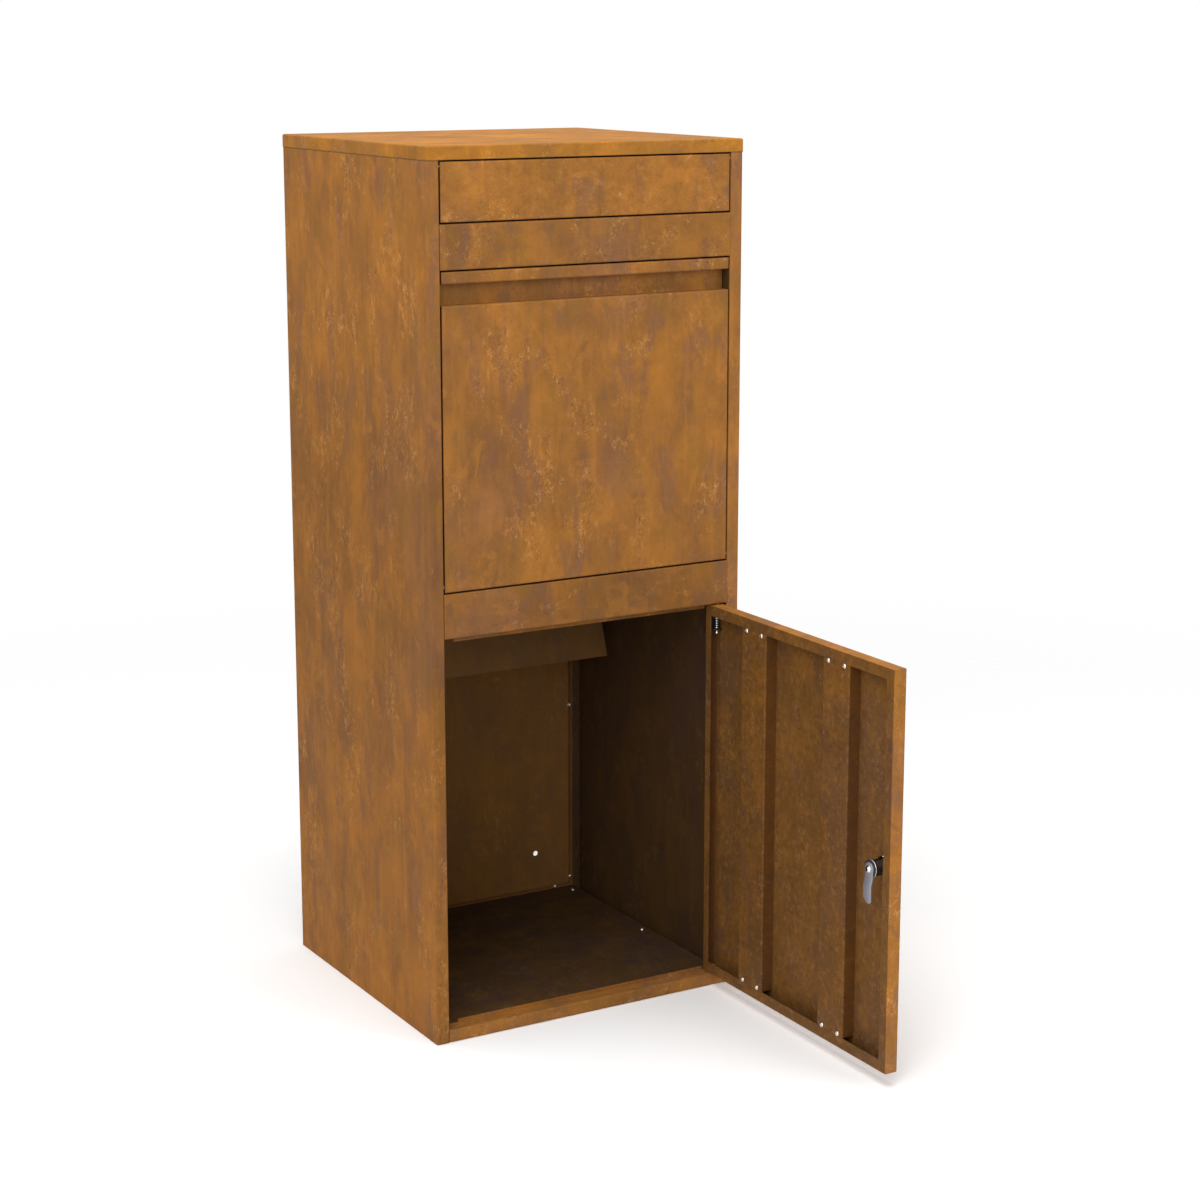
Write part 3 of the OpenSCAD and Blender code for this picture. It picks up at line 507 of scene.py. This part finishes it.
zinc = plated("bright_zinc", (0.74, 0.74, 0.72), 0.2, 0.22)
chrome = plated("lock_chrome", (0.86, 0.86, 0.85), 0.06, 0.12, 0.06)
satin = plated("satin_chrome", (0.6, 0.6, 0.61), 0.16, 0.14, 0.1)
brushed = plated("brushed_grey", (0.36, 0.36, 0.4), 0.42, 0.2, 0.3)
black = plated("black_paint", (0.02, 0.02, 0.02), 0.4, 0.2, 0.1, metallic=0.0)
# The lock barrel's near-black is partly painted shade: dark steel, painted near-black as the shadow
# behind the stop washer.
barrel_shade = plated("barrel_shade_black", (0.022, 0.016, 0.012), 0.34, 0.2, 0.2)
dark_steel = plated("dull_steel", (0.22, 0.21, 0.2), 0.38, 0.25, 0.25)
finishes = {"bright_fixings": zinc, "bright_lock": chrome, "black_bracket": black,
            "dark_steel": dark_steel}
print("metal finishes by slot:", sorted(finishes))

# %% Give every node of the frame its finish
slot_of = {s["node"]: s["material_slot"] for s in frame["record"]["subparts"]}
for name, node in frame["nodes"].items():
    finish = sheets.get(name) or finishes[slot_of[name]]
    if not node.material_slots:
        node.data.materials.append(finish)
    for place in node.material_slots:
        place.material = finish
print("finished nodes:", len(frame["nodes"]))

# %% [markdown]
# ## Making pieces from grids
# The lock, the screws and the rivets are turned or pressed shapes, so each is a surface on a grid: one
# direction runs along the piece and the other goes round it. numpy works out all the points at once.
# surface() joins a grid into quads, and add_piece() turns grids into one closed mesh that rides on a
# body. Cylinders with bevels would be quicker to place, but they couldn't change from round to
# hexagonal or carry a thread.

# %% Points round an axis
def ring_points(radius, angle, height):
    """Points at (radius cos angle, radius sin angle, height). The three are arrays of rows by columns
    that numpy stretches to one shape."""
    return np.stack(np.broadcast_arrays(radius * np.cos(angle), radius * np.sin(angle), height), -1)


def round_angles(count):
    """One row of so many angles, evenly round a full turn."""
    return np.linspace(0, 2 * np.pi, count, endpoint=False)[None, :]


print("a ring of 48 points:", ring_points(1.0, round_angles(48), 0.0).shape)


# %% Grid and piece helpers
def in_scene(name, data):
    """A new object at the origin, in the scene."""
    made = bpy.data.objects.new(name, data)
    scene.collection.objects.link(made)
    return made


def surface(grid, loop=False):
    """Quads over a grid of rows by columns, closed round the columns. The rows are closed too if loop
    is true, and otherwise each end row gets a flat face."""
    rows, columns = grid.shape[:2]
    i, j = np.meshgrid(np.arange(rows if loop else rows - 1), np.arange(columns), indexing="ij")
    i2, j2 = (i + 1) % rows, (j + 1) % columns
    quads = np.stack([i * columns + j, i * columns + j2, i2 * columns + j2, i2 * columns + j], -1)
    faces = quads.reshape(-1, 4).tolist()
    if not loop:
        faces += [list(range(columns))[::-1], list(range((rows - 1) * columns, rows * columns))]
    return grid.reshape(-1, 3), faces


def add_piece(name, grids, finish, body, replaces=(), loop=False, sharp=35):
    """One mesh from several grids, its faces turned outwards, smooth but for edges above sharp
    degrees."""
    points, faces, start = [], [], 0
    for grid in grids:
        p, f = surface(grid, loop)
        points.append(p)
        faces += [[k + start for k in face] for face in f]
        start += len(p)
    mesh = bpy.data.meshes.new(name)
    mesh.from_pydata(np.concatenate(points).tolist(), [], faces)
    work = bmesh.new()
    work.from_mesh(mesh)
    bmesh.ops.recalc_face_normals(work, faces=work.faces)
    work.to_mesh(mesh)
    work.free()
    mesh.polygons.foreach_set("use_smooth", [True] * len(mesh.polygons))
    mesh.set_sharp_from_angle(angle=math.radians(sharp))
    mesh.materials.append(finish)
    piece = in_scene(name, mesh)
    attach(piece, body)
    if replaces:
        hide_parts(*replaces)
    print(name, "-", len(mesh.polygons), "faces on", body)
    return piece


def turned(profile, around=48, turn=0.0):
    """A turned shape about Z. profile rows are (radius, height) or (radius, height, flatness), where
    flatness 1 makes that ring a hexagon with that corner radius and 0 leaves it round. A hexagon's
    radius is cos(30 degrees) over the cosine of the angle from the middle of its side."""
    rows = np.array([(*row, 0)[:3] for row in profile], float)
    angle = round_angles(around)
    wedge = (angle + turn) % (np.pi / 3) - np.pi / 6
    hexagon = math.cos(math.pi / 6) / np.cos(wedge)
    radius = rows[:, :1] * (1 + rows[:, 2:3] * (hexagon - 1))
    return ring_points(radius, angle, rows[:, 1:2])


def along(grid, centre, direction):
    """Stands a grid made about +Z at centre, with its Z pointing along direction."""
    turn = Vector(direction).to_track_quat("Z", "Y").to_matrix()
    return grid @ np.array(turn).T + np.array(centre)


print("a plain turned ring has", len(surface(turned([(1, 0), (1, 1)]))[1]), "faces")

# %% [markdown]
# ## The lock
# From outside, the cam lock is a chromed hexagon with a corner at the top, whose facets taper to a
# round ring about the key disc. Behind the door its barrel is threaded. Both are turned shapes whose
# rings may change from round to hexagonal, because a turned shape needs only a short list of rings,
# and the thread is a wave in the radius that climbs one pitch for each turn.

# %% Where the lock sits
lock_low, lock_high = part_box("lock_body")
skin_x = skin_high.x
axis_y, axis_z = (lock_low.y + lock_high.y) / 2, (lock_low.z + lock_high.z) / 2
lock_at = (skin_x, axis_y, axis_z)
nose = lock_high.x - skin_x
barrel_depth = skin_x - lock_low.x
plug_low, plug_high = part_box("lock_plug")
plug_r = (plug_high.y - plug_low.y) / 2
bore_r = plug_r + 0.06 * MM
bezel_r = (lock_high.z - lock_low.z) / 2
barrel_r = 9.25 * MM
ring_r = 8.6 * MM
CORNER_UP = math.pi / 6
print("lock: bezel", round(2 * bezel_r / MM, 1), "mm over its corners, barrel",
      round(barrel_depth / MM, 1), "mm deep")

# %% Lock bezel and threaded barrel
# Each ring is (radius, height out from the door's skin, flatness).
bezel_rings = [
    (barrel_r, 0), (bezel_r - 0.4 * MM, 0, 1), (bezel_r, 0.4 * MM, 1), (bezel_r, 3.4 * MM, 1),
    (bezel_r - 0.25 * MM, 3.9 * MM, 1), (bezel_r - 0.9 * MM, 4.4 * MM, 1),
    (ring_r + 2.0 * MM, 6.2 * MM, 0.75), (ring_r + 1.1 * MM, nose - 0.9 * MM, 0.35),
    (ring_r + 0.6 * MM, nose - 0.35 * MM, 0.1), (ring_r, nose), (ring_r - 1.1 * MM, nose),
    (ring_r - 1.4 * MM, nose - 0.3 * MM), (ring_r - 1.5 * MM, nose - 1.0 * MM),
    (bore_r + 0.5 * MM, nose - 1.2 * MM), (bore_r, nose - 1.5 * MM), (bore_r, 0)]
barrel_rings = [(bore_r, -0.01 * MM), (bore_r, -barrel_depth + 0.3 * MM),
                (bore_r + 0.3 * MM, -barrel_depth), (barrel_r - 0.7 * MM, -barrel_depth)]


def threaded(radius, low, high, pitch, depth, around=48):
    """A thread: the radius is a triangle wave of height over pitch plus the turn, and fades at both
    ends."""
    rings_per_pitch = 5
    height = np.linspace(low, high, int((high - low) / pitch * rings_per_pitch))[:, None]
    angle = round_angles(around)
    phase = (height / pitch + angle / (2 * np.pi)) % 1
    fade = np.clip(np.minimum(height - low, high - height) / (1.5 * pitch), 0, 1)
    return ring_points(radius - depth * fade * np.abs(2 * phase - 1), angle, height)


OUT, IN = (1, 0, 0), (-1, 0, 0)
bezel_grid = turned(bezel_rings, turn=CORNER_UP)
add_piece("lock_bezel", [along(bezel_grid, lock_at, OUT)], satin, "door",
          ["lock_body"], loop=True, sharp=28)
thread = threaded(barrel_r, -barrel_depth + 0.7 * MM, -0.2 * MM, pitch=1.2 * MM, depth=0.5 * MM)
barrel_grid = np.concatenate([turned(barrel_rings), thread])
add_piece("lock_barrel", [along(barrel_grid, lock_at, OUT)], barrel_shade, "door",
          loop=True, sharp=28)

# %% [markdown]
# ## The nut and the stop washer
# The nut clamps the barrel to the door's skin, and its outer corners are turned off to a round face.
# The black washer behind it stops the cam at each end of its quarter turn, and its edge is rubbed
# bright. Each is one more short list of rings. The bright edge is a thin ring of its own, because its
# finish is another one.

# %% Lock nut
nut_low, nut_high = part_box("lock_nut")
nut_r, nut_t = (nut_high.z - nut_low.z) / 2, nut_high.x - nut_low.x
nut_rings = [(barrel_r, 0), (nut_r - 0.6 * MM, 0, 1), (nut_r, 0.2 * MM, 1), (nut_r, nut_t * 0.5, 1),
             (nut_r * 0.872, nut_t * 0.98), (nut_r * 0.85, nut_t), (barrel_r, nut_t)]
nut_grid = along(turned(nut_rings, turn=CORNER_UP), (nut_high.x, axis_y, axis_z), IN)
add_piece("lock_hex_nut", [nut_grid], chrome, "door", ["lock_nut"], loop=True,
          sharp=28)

# %% Stop washer
washer_low, washer_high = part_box("cam_stop_washer")
washer_r, washer_t = (washer_high.z - washer_low.z) / 2, washer_high.x - washer_low.x
rim = 0.3 * MM
washer_at = (washer_high.x, axis_y, axis_z)
disc_rings = [(bore_r, 0), (washer_r - rim, 0), (washer_r - rim, washer_t * 0.92),
              (washer_r - rim - 0.2 * MM, washer_t), (bore_r, washer_t)]
rim_rings = [(washer_r - rim, 0), (washer_r - 0.15 * MM, 0), (washer_r, washer_t * 0.15),
             (washer_r, washer_t * 0.75), (washer_r - 0.15 * MM, washer_t * 0.9),
             (washer_r - rim, washer_t * 0.92)]
disc_grid, rim_grid = (along(turned(rings, 64), washer_at, IN) for rings in (disc_rings, rim_rings))
add_piece("stop_washer", [disc_grid], black, "door", ["cam_stop_washer"], loop=True)
add_piece("stop_washer_rim", [rim_grid], zinc, "door", loop=True)

# %% [markdown]
# ## The cam and its screw
# The cam is a flat steel lever with a round eye. It is cranked once away from the door, and its tip
# has one corner cut off and the other rounded. A bevelled cut-out would give the outline, but not the
# crank. So it is a loft: a rounded rectangle carried down the lever, whose width and set-back change
# on the way. Its screw is a low dome whose middle rings are hexagonal.

# %% Cam lever
cam_low, cam_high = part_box("lock_cam")
cam_t = 2 * MM
cam_half = (cam_high.y - cam_low.y) / 2


def rounded_loops(left, right, middle, thickness, radius, per_corner=4):
    """One rounded rectangle for each station, in (X, Y): Y from left to right, X about middle."""
    corner = np.linspace(0, np.pi / 2, per_corner)
    angle = np.concatenate([corner + k * np.pi / 2 for k in range(4)])
    side_y = np.repeat([1, -1, -1, 1], per_corner)
    side_x = np.repeat([1, 1, -1, -1], per_corner)
    half = (right - left) / 2
    rounding = np.minimum(radius, half * 0.9)[:, None]
    y = (left + right)[:, None] / 2 + side_y * (half[:, None] - rounding) + rounding * np.cos(angle)
    x = middle[:, None] + side_x * (thickness / 2 - rounding) + rounding * np.sin(angle)
    return x, y


def cam_grid():
    """Stations from the top of the eye down to the tip, closer together where the outline turns. The
    half width is the eye's circle down to where it meets the bar; at the tip the hinge side loses a
    straight corner and the other side a round one. The crank is a smooth step, 3 t squared less
    2 t cubed, over 10 mm."""
    top, tip = cam_high.z - axis_z, axis_z - cam_low.z
    bar_half, corner, rounding = 7 * MM, 6 * MM, 3.5 * MM
    crank_from, crank_length = 9.5 * MM, 10 * MM
    neck = math.sqrt(cam_half ** 2 - bar_half ** 2)
    eye = top * np.cos(np.linspace(0.02, np.pi / 2 + math.asin(neck / top), 16))
    bar = np.concatenate([[-6], np.linspace(-9.5, -19.5, 11), [-24, -31]]) * MM
    end = -tip + corner * (1 - np.sin(np.linspace(0, np.pi / 2, 14)))
    v = np.concatenate([eye, bar, end])
    width = np.sqrt(np.maximum(cam_half ** 2 - v ** 2, 0))
    width = np.where(v < -neck, bar_half, np.maximum(width, 0.1 * MM))
    past = np.clip(-v - tip + corner, 0, corner)
    late = np.clip(-v - tip + rounding, 0, rounding)
    right = width - past
    left = -width + rounding - np.sqrt(np.maximum(rounding ** 2 - late ** 2, 0))
    crank = np.clip((-v - crank_from) / crank_length, 0, 1)
    crank = crank * crank * (3 - 2 * crank)
    middle = cam_high.x - cam_t / 2 - crank * (cam_high.x - cam_low.x - cam_t)
    x, y = rounded_loops(left, right, middle, cam_t, 0.35 * MM)
    return np.stack([x, y + axis_y, np.repeat(v[:, None], x.shape[1], 1) + axis_z], -1)


add_piece("cam_lever", [cam_grid()], brushed, "lock_cam", ["lock_cam"], sharp=40)

# %% Cam screw
screw_low, screw_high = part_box("cam_screw")
head_r = (screw_high.y - screw_low.y) / 2
head_base = cam_high.x - cam_t - 0.05 * MM
head_t = head_base - screw_low.x
dome = [(head_r, 0), (head_r, head_t * 0.25), (head_r * 0.97, head_t * 0.34),
        (head_r * 0.86, head_t * 0.4, 0.9), (head_r * 0.86, head_t * 0.8, 0.9),
        (head_r * 0.78, head_t * 0.93, 0.7), (head_r * 0.62, head_t, 0.3), (head_r * 0.1, head_t)]
add_piece("cam_bolt", [along(turned(dome), (head_base, axis_y, axis_z), IN)], chrome, "lock_cam",
          ["cam_screw"], sharp=30)

# %% [markdown]
# ## The sprung hinge pin
# The door lifts out when this pin is drawn down: a turned pin with a collar and a ball end, and a coil
# spring between the collar and its bracket. The coil is a circle carried along a helix whose end turns
# lie flat. A curve with a round bevel would look the same, but a grid keeps its end turns exact.

# %% Hinge pin
pin_low, pin_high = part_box("upper_hinge_pin")
coil_low, coil_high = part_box("pin_spring")
pin_x, pin_y = (pin_low.x + pin_high.x) / 2, (pin_low.y + pin_high.y) / 2
collar_r, pin_r, ball_r = (pin_high.x - pin_low.x) / 2, 2.0 * MM, 2.6 * MM
collar_z = coil_high.z + 0.1 * MM
ball_z = pin_low.z + ball_r


def pin_profiles():
    """Radius and height of the pin's two parts: the bright ball with its neck, and then the dark shank,
    the collar with eased edges and the pointed nose."""
    ease, step, centre_r, collar_t = 0.3 * MM, 0.01 * MM, 0.1 * MM, 2 * MM
    around_ball = np.linspace(0.06, np.pi - math.asin(pin_r / ball_r * 0.96), 12)
    ball = [(ball_r * math.sin(a), ball_z - ball_r * math.cos(a)) for a in around_ball]
    neck = ball[-1][1] + ease
    ball += [(pin_r, neck), (centre_r, neck)]
    top = collar_z + collar_t
    shank = [(centre_r, neck), (pin_r, neck), (pin_r, collar_z - step), (collar_r - ease, collar_z),
             (collar_r, collar_z + ease), (collar_r, top - ease), (collar_r - ease, top),
             (pin_r, top + step), (pin_r, pin_high.z - 1 * MM), (pin_r - 0.8 * MM, pin_high.z),
             (centre_r, pin_high.z)]
    return ball, shank


ball_grid, shank_grid = (turned(rows, 32) + np.array([pin_x, pin_y, 0]) for rows in pin_profiles())
add_piece("hinge_pin", [shank_grid], dark_steel, "top_pin", ["upper_hinge_pin"], sharp=40)
add_piece("hinge_pin_ball", [ball_grid], chrome, "top_pin", sharp=40)


# %% Coil spring
def coil(low, high, radius, wire, turns, per_turn=28, around=10):
    """A tube of the wire's radius along a helix. Its first and last turns rise slowly, so they lie
    flat."""
    t = np.linspace(0, turns, int(turns * per_turn))
    rise = np.interp(t, [0, 0.9, turns - 0.9, turns], [0, 0.075, 0.925, 1])
    a = 2 * np.pi * t
    centre = ring_points(radius, a, low + rise * (high - low))
    tangent = np.gradient(centre, axis=0)
    tangent /= np.linalg.norm(tangent, axis=1, keepdims=True)
    out = ring_points(1.0, a, 0.0)
    up = np.cross(tangent, out)
    b = round_angles(around)[:, :, None]
    return centre[:, None] + wire * (np.cos(b) * out[:, None] + np.sin(b) * up[:, None])


wire_r, coil_r, coil_turns, pin_travel = 0.45 * MM, 2.85 * MM, 5.5, 6 * MM
coil_grid = coil(coil_low.z + wire_r, coil_high.z - wire_r, coil_r, wire_r, coil_turns)
spring = add_piece("pin_coil", [coil_grid + np.array([pin_x, pin_y, 0])], chrome, "door",
                   ["pin_spring"], sharp=60)
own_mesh(spring)

# %% [markdown]
# ## Screws and rivets
# Every fixing's place can be read from the frame: a node of screws is many separate solids, so its
# loose triangles are sorted into islands that share corners. In each island the widest ring is where
# the head meets the sheet, and the nearer end is the head's own. The places could be typed in, but
# then they would be wrong as soon as the frame changed.

# %% Sort a node into its separate solids
def islands(node):
    """The points of each separate solid in a node: corners joined by a face take the lowest label
    near them again and again, until no label changes."""
    mesh = node.data
    co = np.zeros(len(mesh.vertices) * 3, np.float32)
    mesh.vertices.foreach_get("co", co)
    co = co.reshape(-1, 3)
    spots, index = np.unique(np.round(co, 6), axis=0, return_inverse=True)
    mesh.calc_loop_triangles()
    corners = np.zeros(len(mesh.loop_triangles) * 3, np.int32)
    mesh.loop_triangles.foreach_get("vertices", corners)
    triangles = index.reshape(-1)[corners].reshape(-1, 3)
    label = np.arange(len(spots))
    while True:
        before = label.copy()
        lowest = label[triangles].min(1)
        for k in range(3):
            np.minimum.at(label, triangles[:, k], lowest)
        label = label[label]
        if (label == before).all():
            break
    return [spots[label == k] for k in np.unique(label)]


print("rivets on the door:", len(islands(frame["nodes"]["stiffener_rivets"])))


# %% Find each fixing's place
def fixing_places(node, axis):
    """For each solid: where its head meets the sheet, the way the head points, the head's radius and
    height, and the shank's length."""
    others = [k for k in range(3) if k != axis]
    places = []
    for points in islands(node):
        middle = (points.min(0) + points.max(0)) / 2
        radius = np.linalg.norm(points[:, others] - middle[others], axis=1)
        seat = np.median(points[radius > radius.max() * 0.995, axis])
        to_low, to_high = seat - points[:, axis].min(), points[:, axis].max() - seat
        centre, direction = middle.copy(), np.zeros(3)
        centre[axis] = seat
        direction[axis] = 1 if to_high < to_low else -1
        places.append((centre, direction, radius.max(), min(to_low, to_high), max(to_low, to_high)))
    return places


X, Y, Z = 0, 1, 2
first = fixing_places(frame["nodes"]["stiffener_rivets"], X)[0]
print("the first door rivet's head sits at", np.round(first[0], 4), "with radius", round(first[2], 4))

# %% [markdown]
# ## The shapes of a rivet and a screw
# A pulled rivet has a low dome with a pit where its stem broke off. The screws have a pan head with a
# cross recess, which shows as a small dark cross. A normal map could fake the cross, but a shape also
# holds close to and in other light, so the recess is cut into the grid's own heights.

# %% Rivet and screw shapes
def rivet(head_r, head_t, length):
    """A pulled rivet: a low dome with a small pit where its stem broke off, on a plain shank. The
    dome's radius and height follow the cosine and sine of an angle that ends at arc."""
    arc = 1.25
    dome_rows = [(head_r * math.cos(a), head_t * math.sin(a) / math.sin(arc))
                 for a in np.linspace(0, 1, 7) * arc]
    pit = [(head_r * 0.27, head_t * 0.97), (head_r * 0.22, head_t * 0.8), (head_r * 0.05, head_t * 0.76)]
    return turned([(0.05 * head_r, -length), (0.5 * head_r, -length), (0.55 * head_r, 0), (head_r, 0)]
                  + dome_rows[1:] + pit, around=24)


def cross_screw(head_r, head_t, length):
    """A pan head with a cross recess: the dome's height, less a smooth cross that is deepest at the
    middle. The cross is where the smaller of |x| and |y| is under the blade's half width."""
    around = 40
    share = np.concatenate([[0.02], np.linspace(0.1, 0.66, 13), [0.74, 0.84, 0.93, 0.98, 1.0]])[::-1]
    r = share[:, None] * head_r
    head = ring_points(r, round_angles(around), head_t * np.maximum(1 - share[:, None] ** 3.2, 0) ** 0.5)
    nearest = np.abs(head[..., :2]).min(-1)
    blade = np.clip((0.14 * head_r - nearest) / (0.07 * head_r), 0, 1)
    reach = np.clip((0.58 * head_r - r) / (0.16 * head_r), 0, 1)
    head[..., 2] -= 0.7 * head_t * blade * reach
    shank = turned([(0.05 * head_r, -length), (0.5 * head_r, -length), (0.56 * head_r, 0)], around)
    return np.concatenate([shank, head])


print("a screw is a grid of", cross_screw(1.0, 0.5, 2.0).shape[:2], "rings and columns")

# %% Put a shape at each fixing's place
fixings = [("stiffener_rivets", X, rivet, "door", "door_rivets"),
           ("hopper_rivets", X, rivet, "drop_door", "hopper_side_rivets"),
           ("baffle_rivets", Y, rivet, "cabinet", "baffle_wall_rivets"),
           ("back_screws", X, cross_screw, "cabinet", "back_panel_screws"),
           ("rail_screws", X, cross_screw, "cabinet", "rail_end_screws"),
           ("floor_screws", Z, cross_screw, "cabinet", "floor_panel_screws"),
           ("cap_screws", Z, cross_screw, "cabinet", "top_cap_screws")]
for node_name, axis, shape, body, piece_name in fixings:
    places = fixing_places(frame["nodes"][node_name], axis)
    grids = [along(shape(*size), centre, direction) for centre, direction, *size in places]
    add_piece(piece_name, grids, zinc, body, [node_name], sharp=50)

# %% [markdown]
# ## The floor
# The box stands on a plain pale floor. A big plane would show its edge against the background, so this
# is a disc that turns clear towards its rim: it keeps the soft shadow under the box and has no
# visible end.

# %% Floor
def pale_floor(radius, fade_from):
    """A disc just under floor level: rings at even steps of radius, fading to clear from fade_from
    metres out to the rim."""
    rings, spokes, level = 12, 72, -0.4 * MM
    r = np.linspace(0.02, 1, rings)[:, None] * radius
    grid = ring_points(r, round_angles(spokes), level)
    i, j = np.meshgrid(np.arange(rings - 1), np.arange(spokes), indexing="ij")
    k = (j + 1) % spokes
    quads = np.stack([i * spokes + j, (i + 1) * spokes + j, (i + 1) * spokes + k, i * spokes + k], -1)
    mesh = bpy.data.meshes.new("floor")
    faces = quads.reshape(-1, 4).tolist() + [list(range(spokes))]
    mesh.from_pydata(grid.reshape(-1, 3).tolist(), [], faces)
    recipe = Recipe("pale_floor")
    recipe.set(Base_Color=(0.97, 0.97, 0.97), Roughness=0.9, Specular_IOR_Level=0.1)
    distance = recipe.node("VectorMath", {0: recipe.place}, out="Value", operation="LENGTH")
    recipe.set(Alpha=distance.over(radius * 0.98, fade_from))
    mesh.materials.append(recipe.material)
    in_scene("floor", mesh)


floor_radius, fade_from = 2.6, 0.45
pale_floor(floor_radius, fade_from)
print("floor:", 2 * floor_radius, "m across, and it starts to fade", fade_from, "m from the middle")

# %% [markdown]
# ## The light
# The box is lit as in a studio: evenly, with no hard shadow. A white world gives the even light, and
# three large soft lamps shape the box: in front to the left, in front to the right and above. The
# background's white is kept apart from the light, because a world bright enough to look white would
# wash out the rust.

# %% World and lamps
def white_world(light, background):
    """Even light, and a white background wherever the camera, a mirror or glass looks."""
    world = bpy.data.worlds.new("studio")
    scene.world = world
    world.use_nodes = True
    tree = world.node_tree
    tree.nodes.clear()
    path = tree.nodes.new("ShaderNodeLightPath")
    lit, seen = (tree.nodes.new("ShaderNodeBackground") for _ in range(2))
    lit.inputs["Strength"].default_value = light
    seen.inputs["Strength"].default_value = background
    for backdrop in (lit, seen):
        backdrop.inputs["Color"].default_value = (1, 1, 1, 1)
    seen_by = path.outputs["Is Camera Ray"]
    for ray in ("Is Glossy Ray", "Is Transmission Ray"):
        either = tree.nodes.new("ShaderNodeMath")
        either.operation = "MAXIMUM"
        tree.links.new(seen_by, either.inputs[0])
        tree.links.new(path.outputs[ray], either.inputs[1])
        seen_by = either.outputs[0]
    mix = tree.nodes.new("ShaderNodeMixShader")
    tree.links.new(seen_by, mix.inputs[0])
    tree.links.new(lit.outputs[0], mix.inputs[1])
    tree.links.new(seen.outputs[0], mix.inputs[2])
    output = tree.nodes.new("ShaderNodeOutputWorld")
    tree.links.new(mix.outputs[0], output.inputs[0])


def soft_lamp(name, place, size, power, target=(0, 0.1, 0.5)):
    """A square area lamp of so many watts, aimed at the box."""
    data = bpy.data.lights.new(name, "AREA")
    data.size, data.energy = size, power
    lamp = in_scene(name, data)
    lamp.location = place
    lamp.rotation_euler = (Vector(place) - Vector(target)).to_track_quat("Z", "Y").to_euler()


white_world(0.5, 1.0)
soft_lamp("lamp_front_left", (-2.4, -2.6, 2.4), 2.4, 66)
soft_lamp("lamp_front_right", (2.2, -3.2, 1.8), 2.4, 40)
soft_lamp("lamp_above", (-0.6, -0.3, 4.0), 3.2, 110)

scene.view_settings.view_transform = "Standard"

# %% [markdown]
# ## The camera
# It stands well to the left of the box and a little above its top, far enough away that the uprights
# stay nearly parallel. Part of the downward look comes from a small lens shift, as on a studio camera,
# because a shift keeps upright edges upright where a tilt makes them lean.

# %% Camera
camera_data = bpy.data.cameras.new("camera")
camera = scene.camera = in_scene("camera", camera_data)
camera.location = (-1.4379, -2.4861, 1.1524)
camera_data.lens = 76
camera_data.sensor_width = 36
camera_data.shift_y = -0.04
tilt = math.radians(11.64)
heading = Vector((0.5056, 0.8628, 0))
look = heading * math.cos(tilt) - UP * math.sin(tilt)
camera.rotation_euler = look.to_track_quat("-Z", "Y").to_euler()
print("camera tilt", round(math.degrees(tilt), 1), "degrees down")

# %% [markdown]
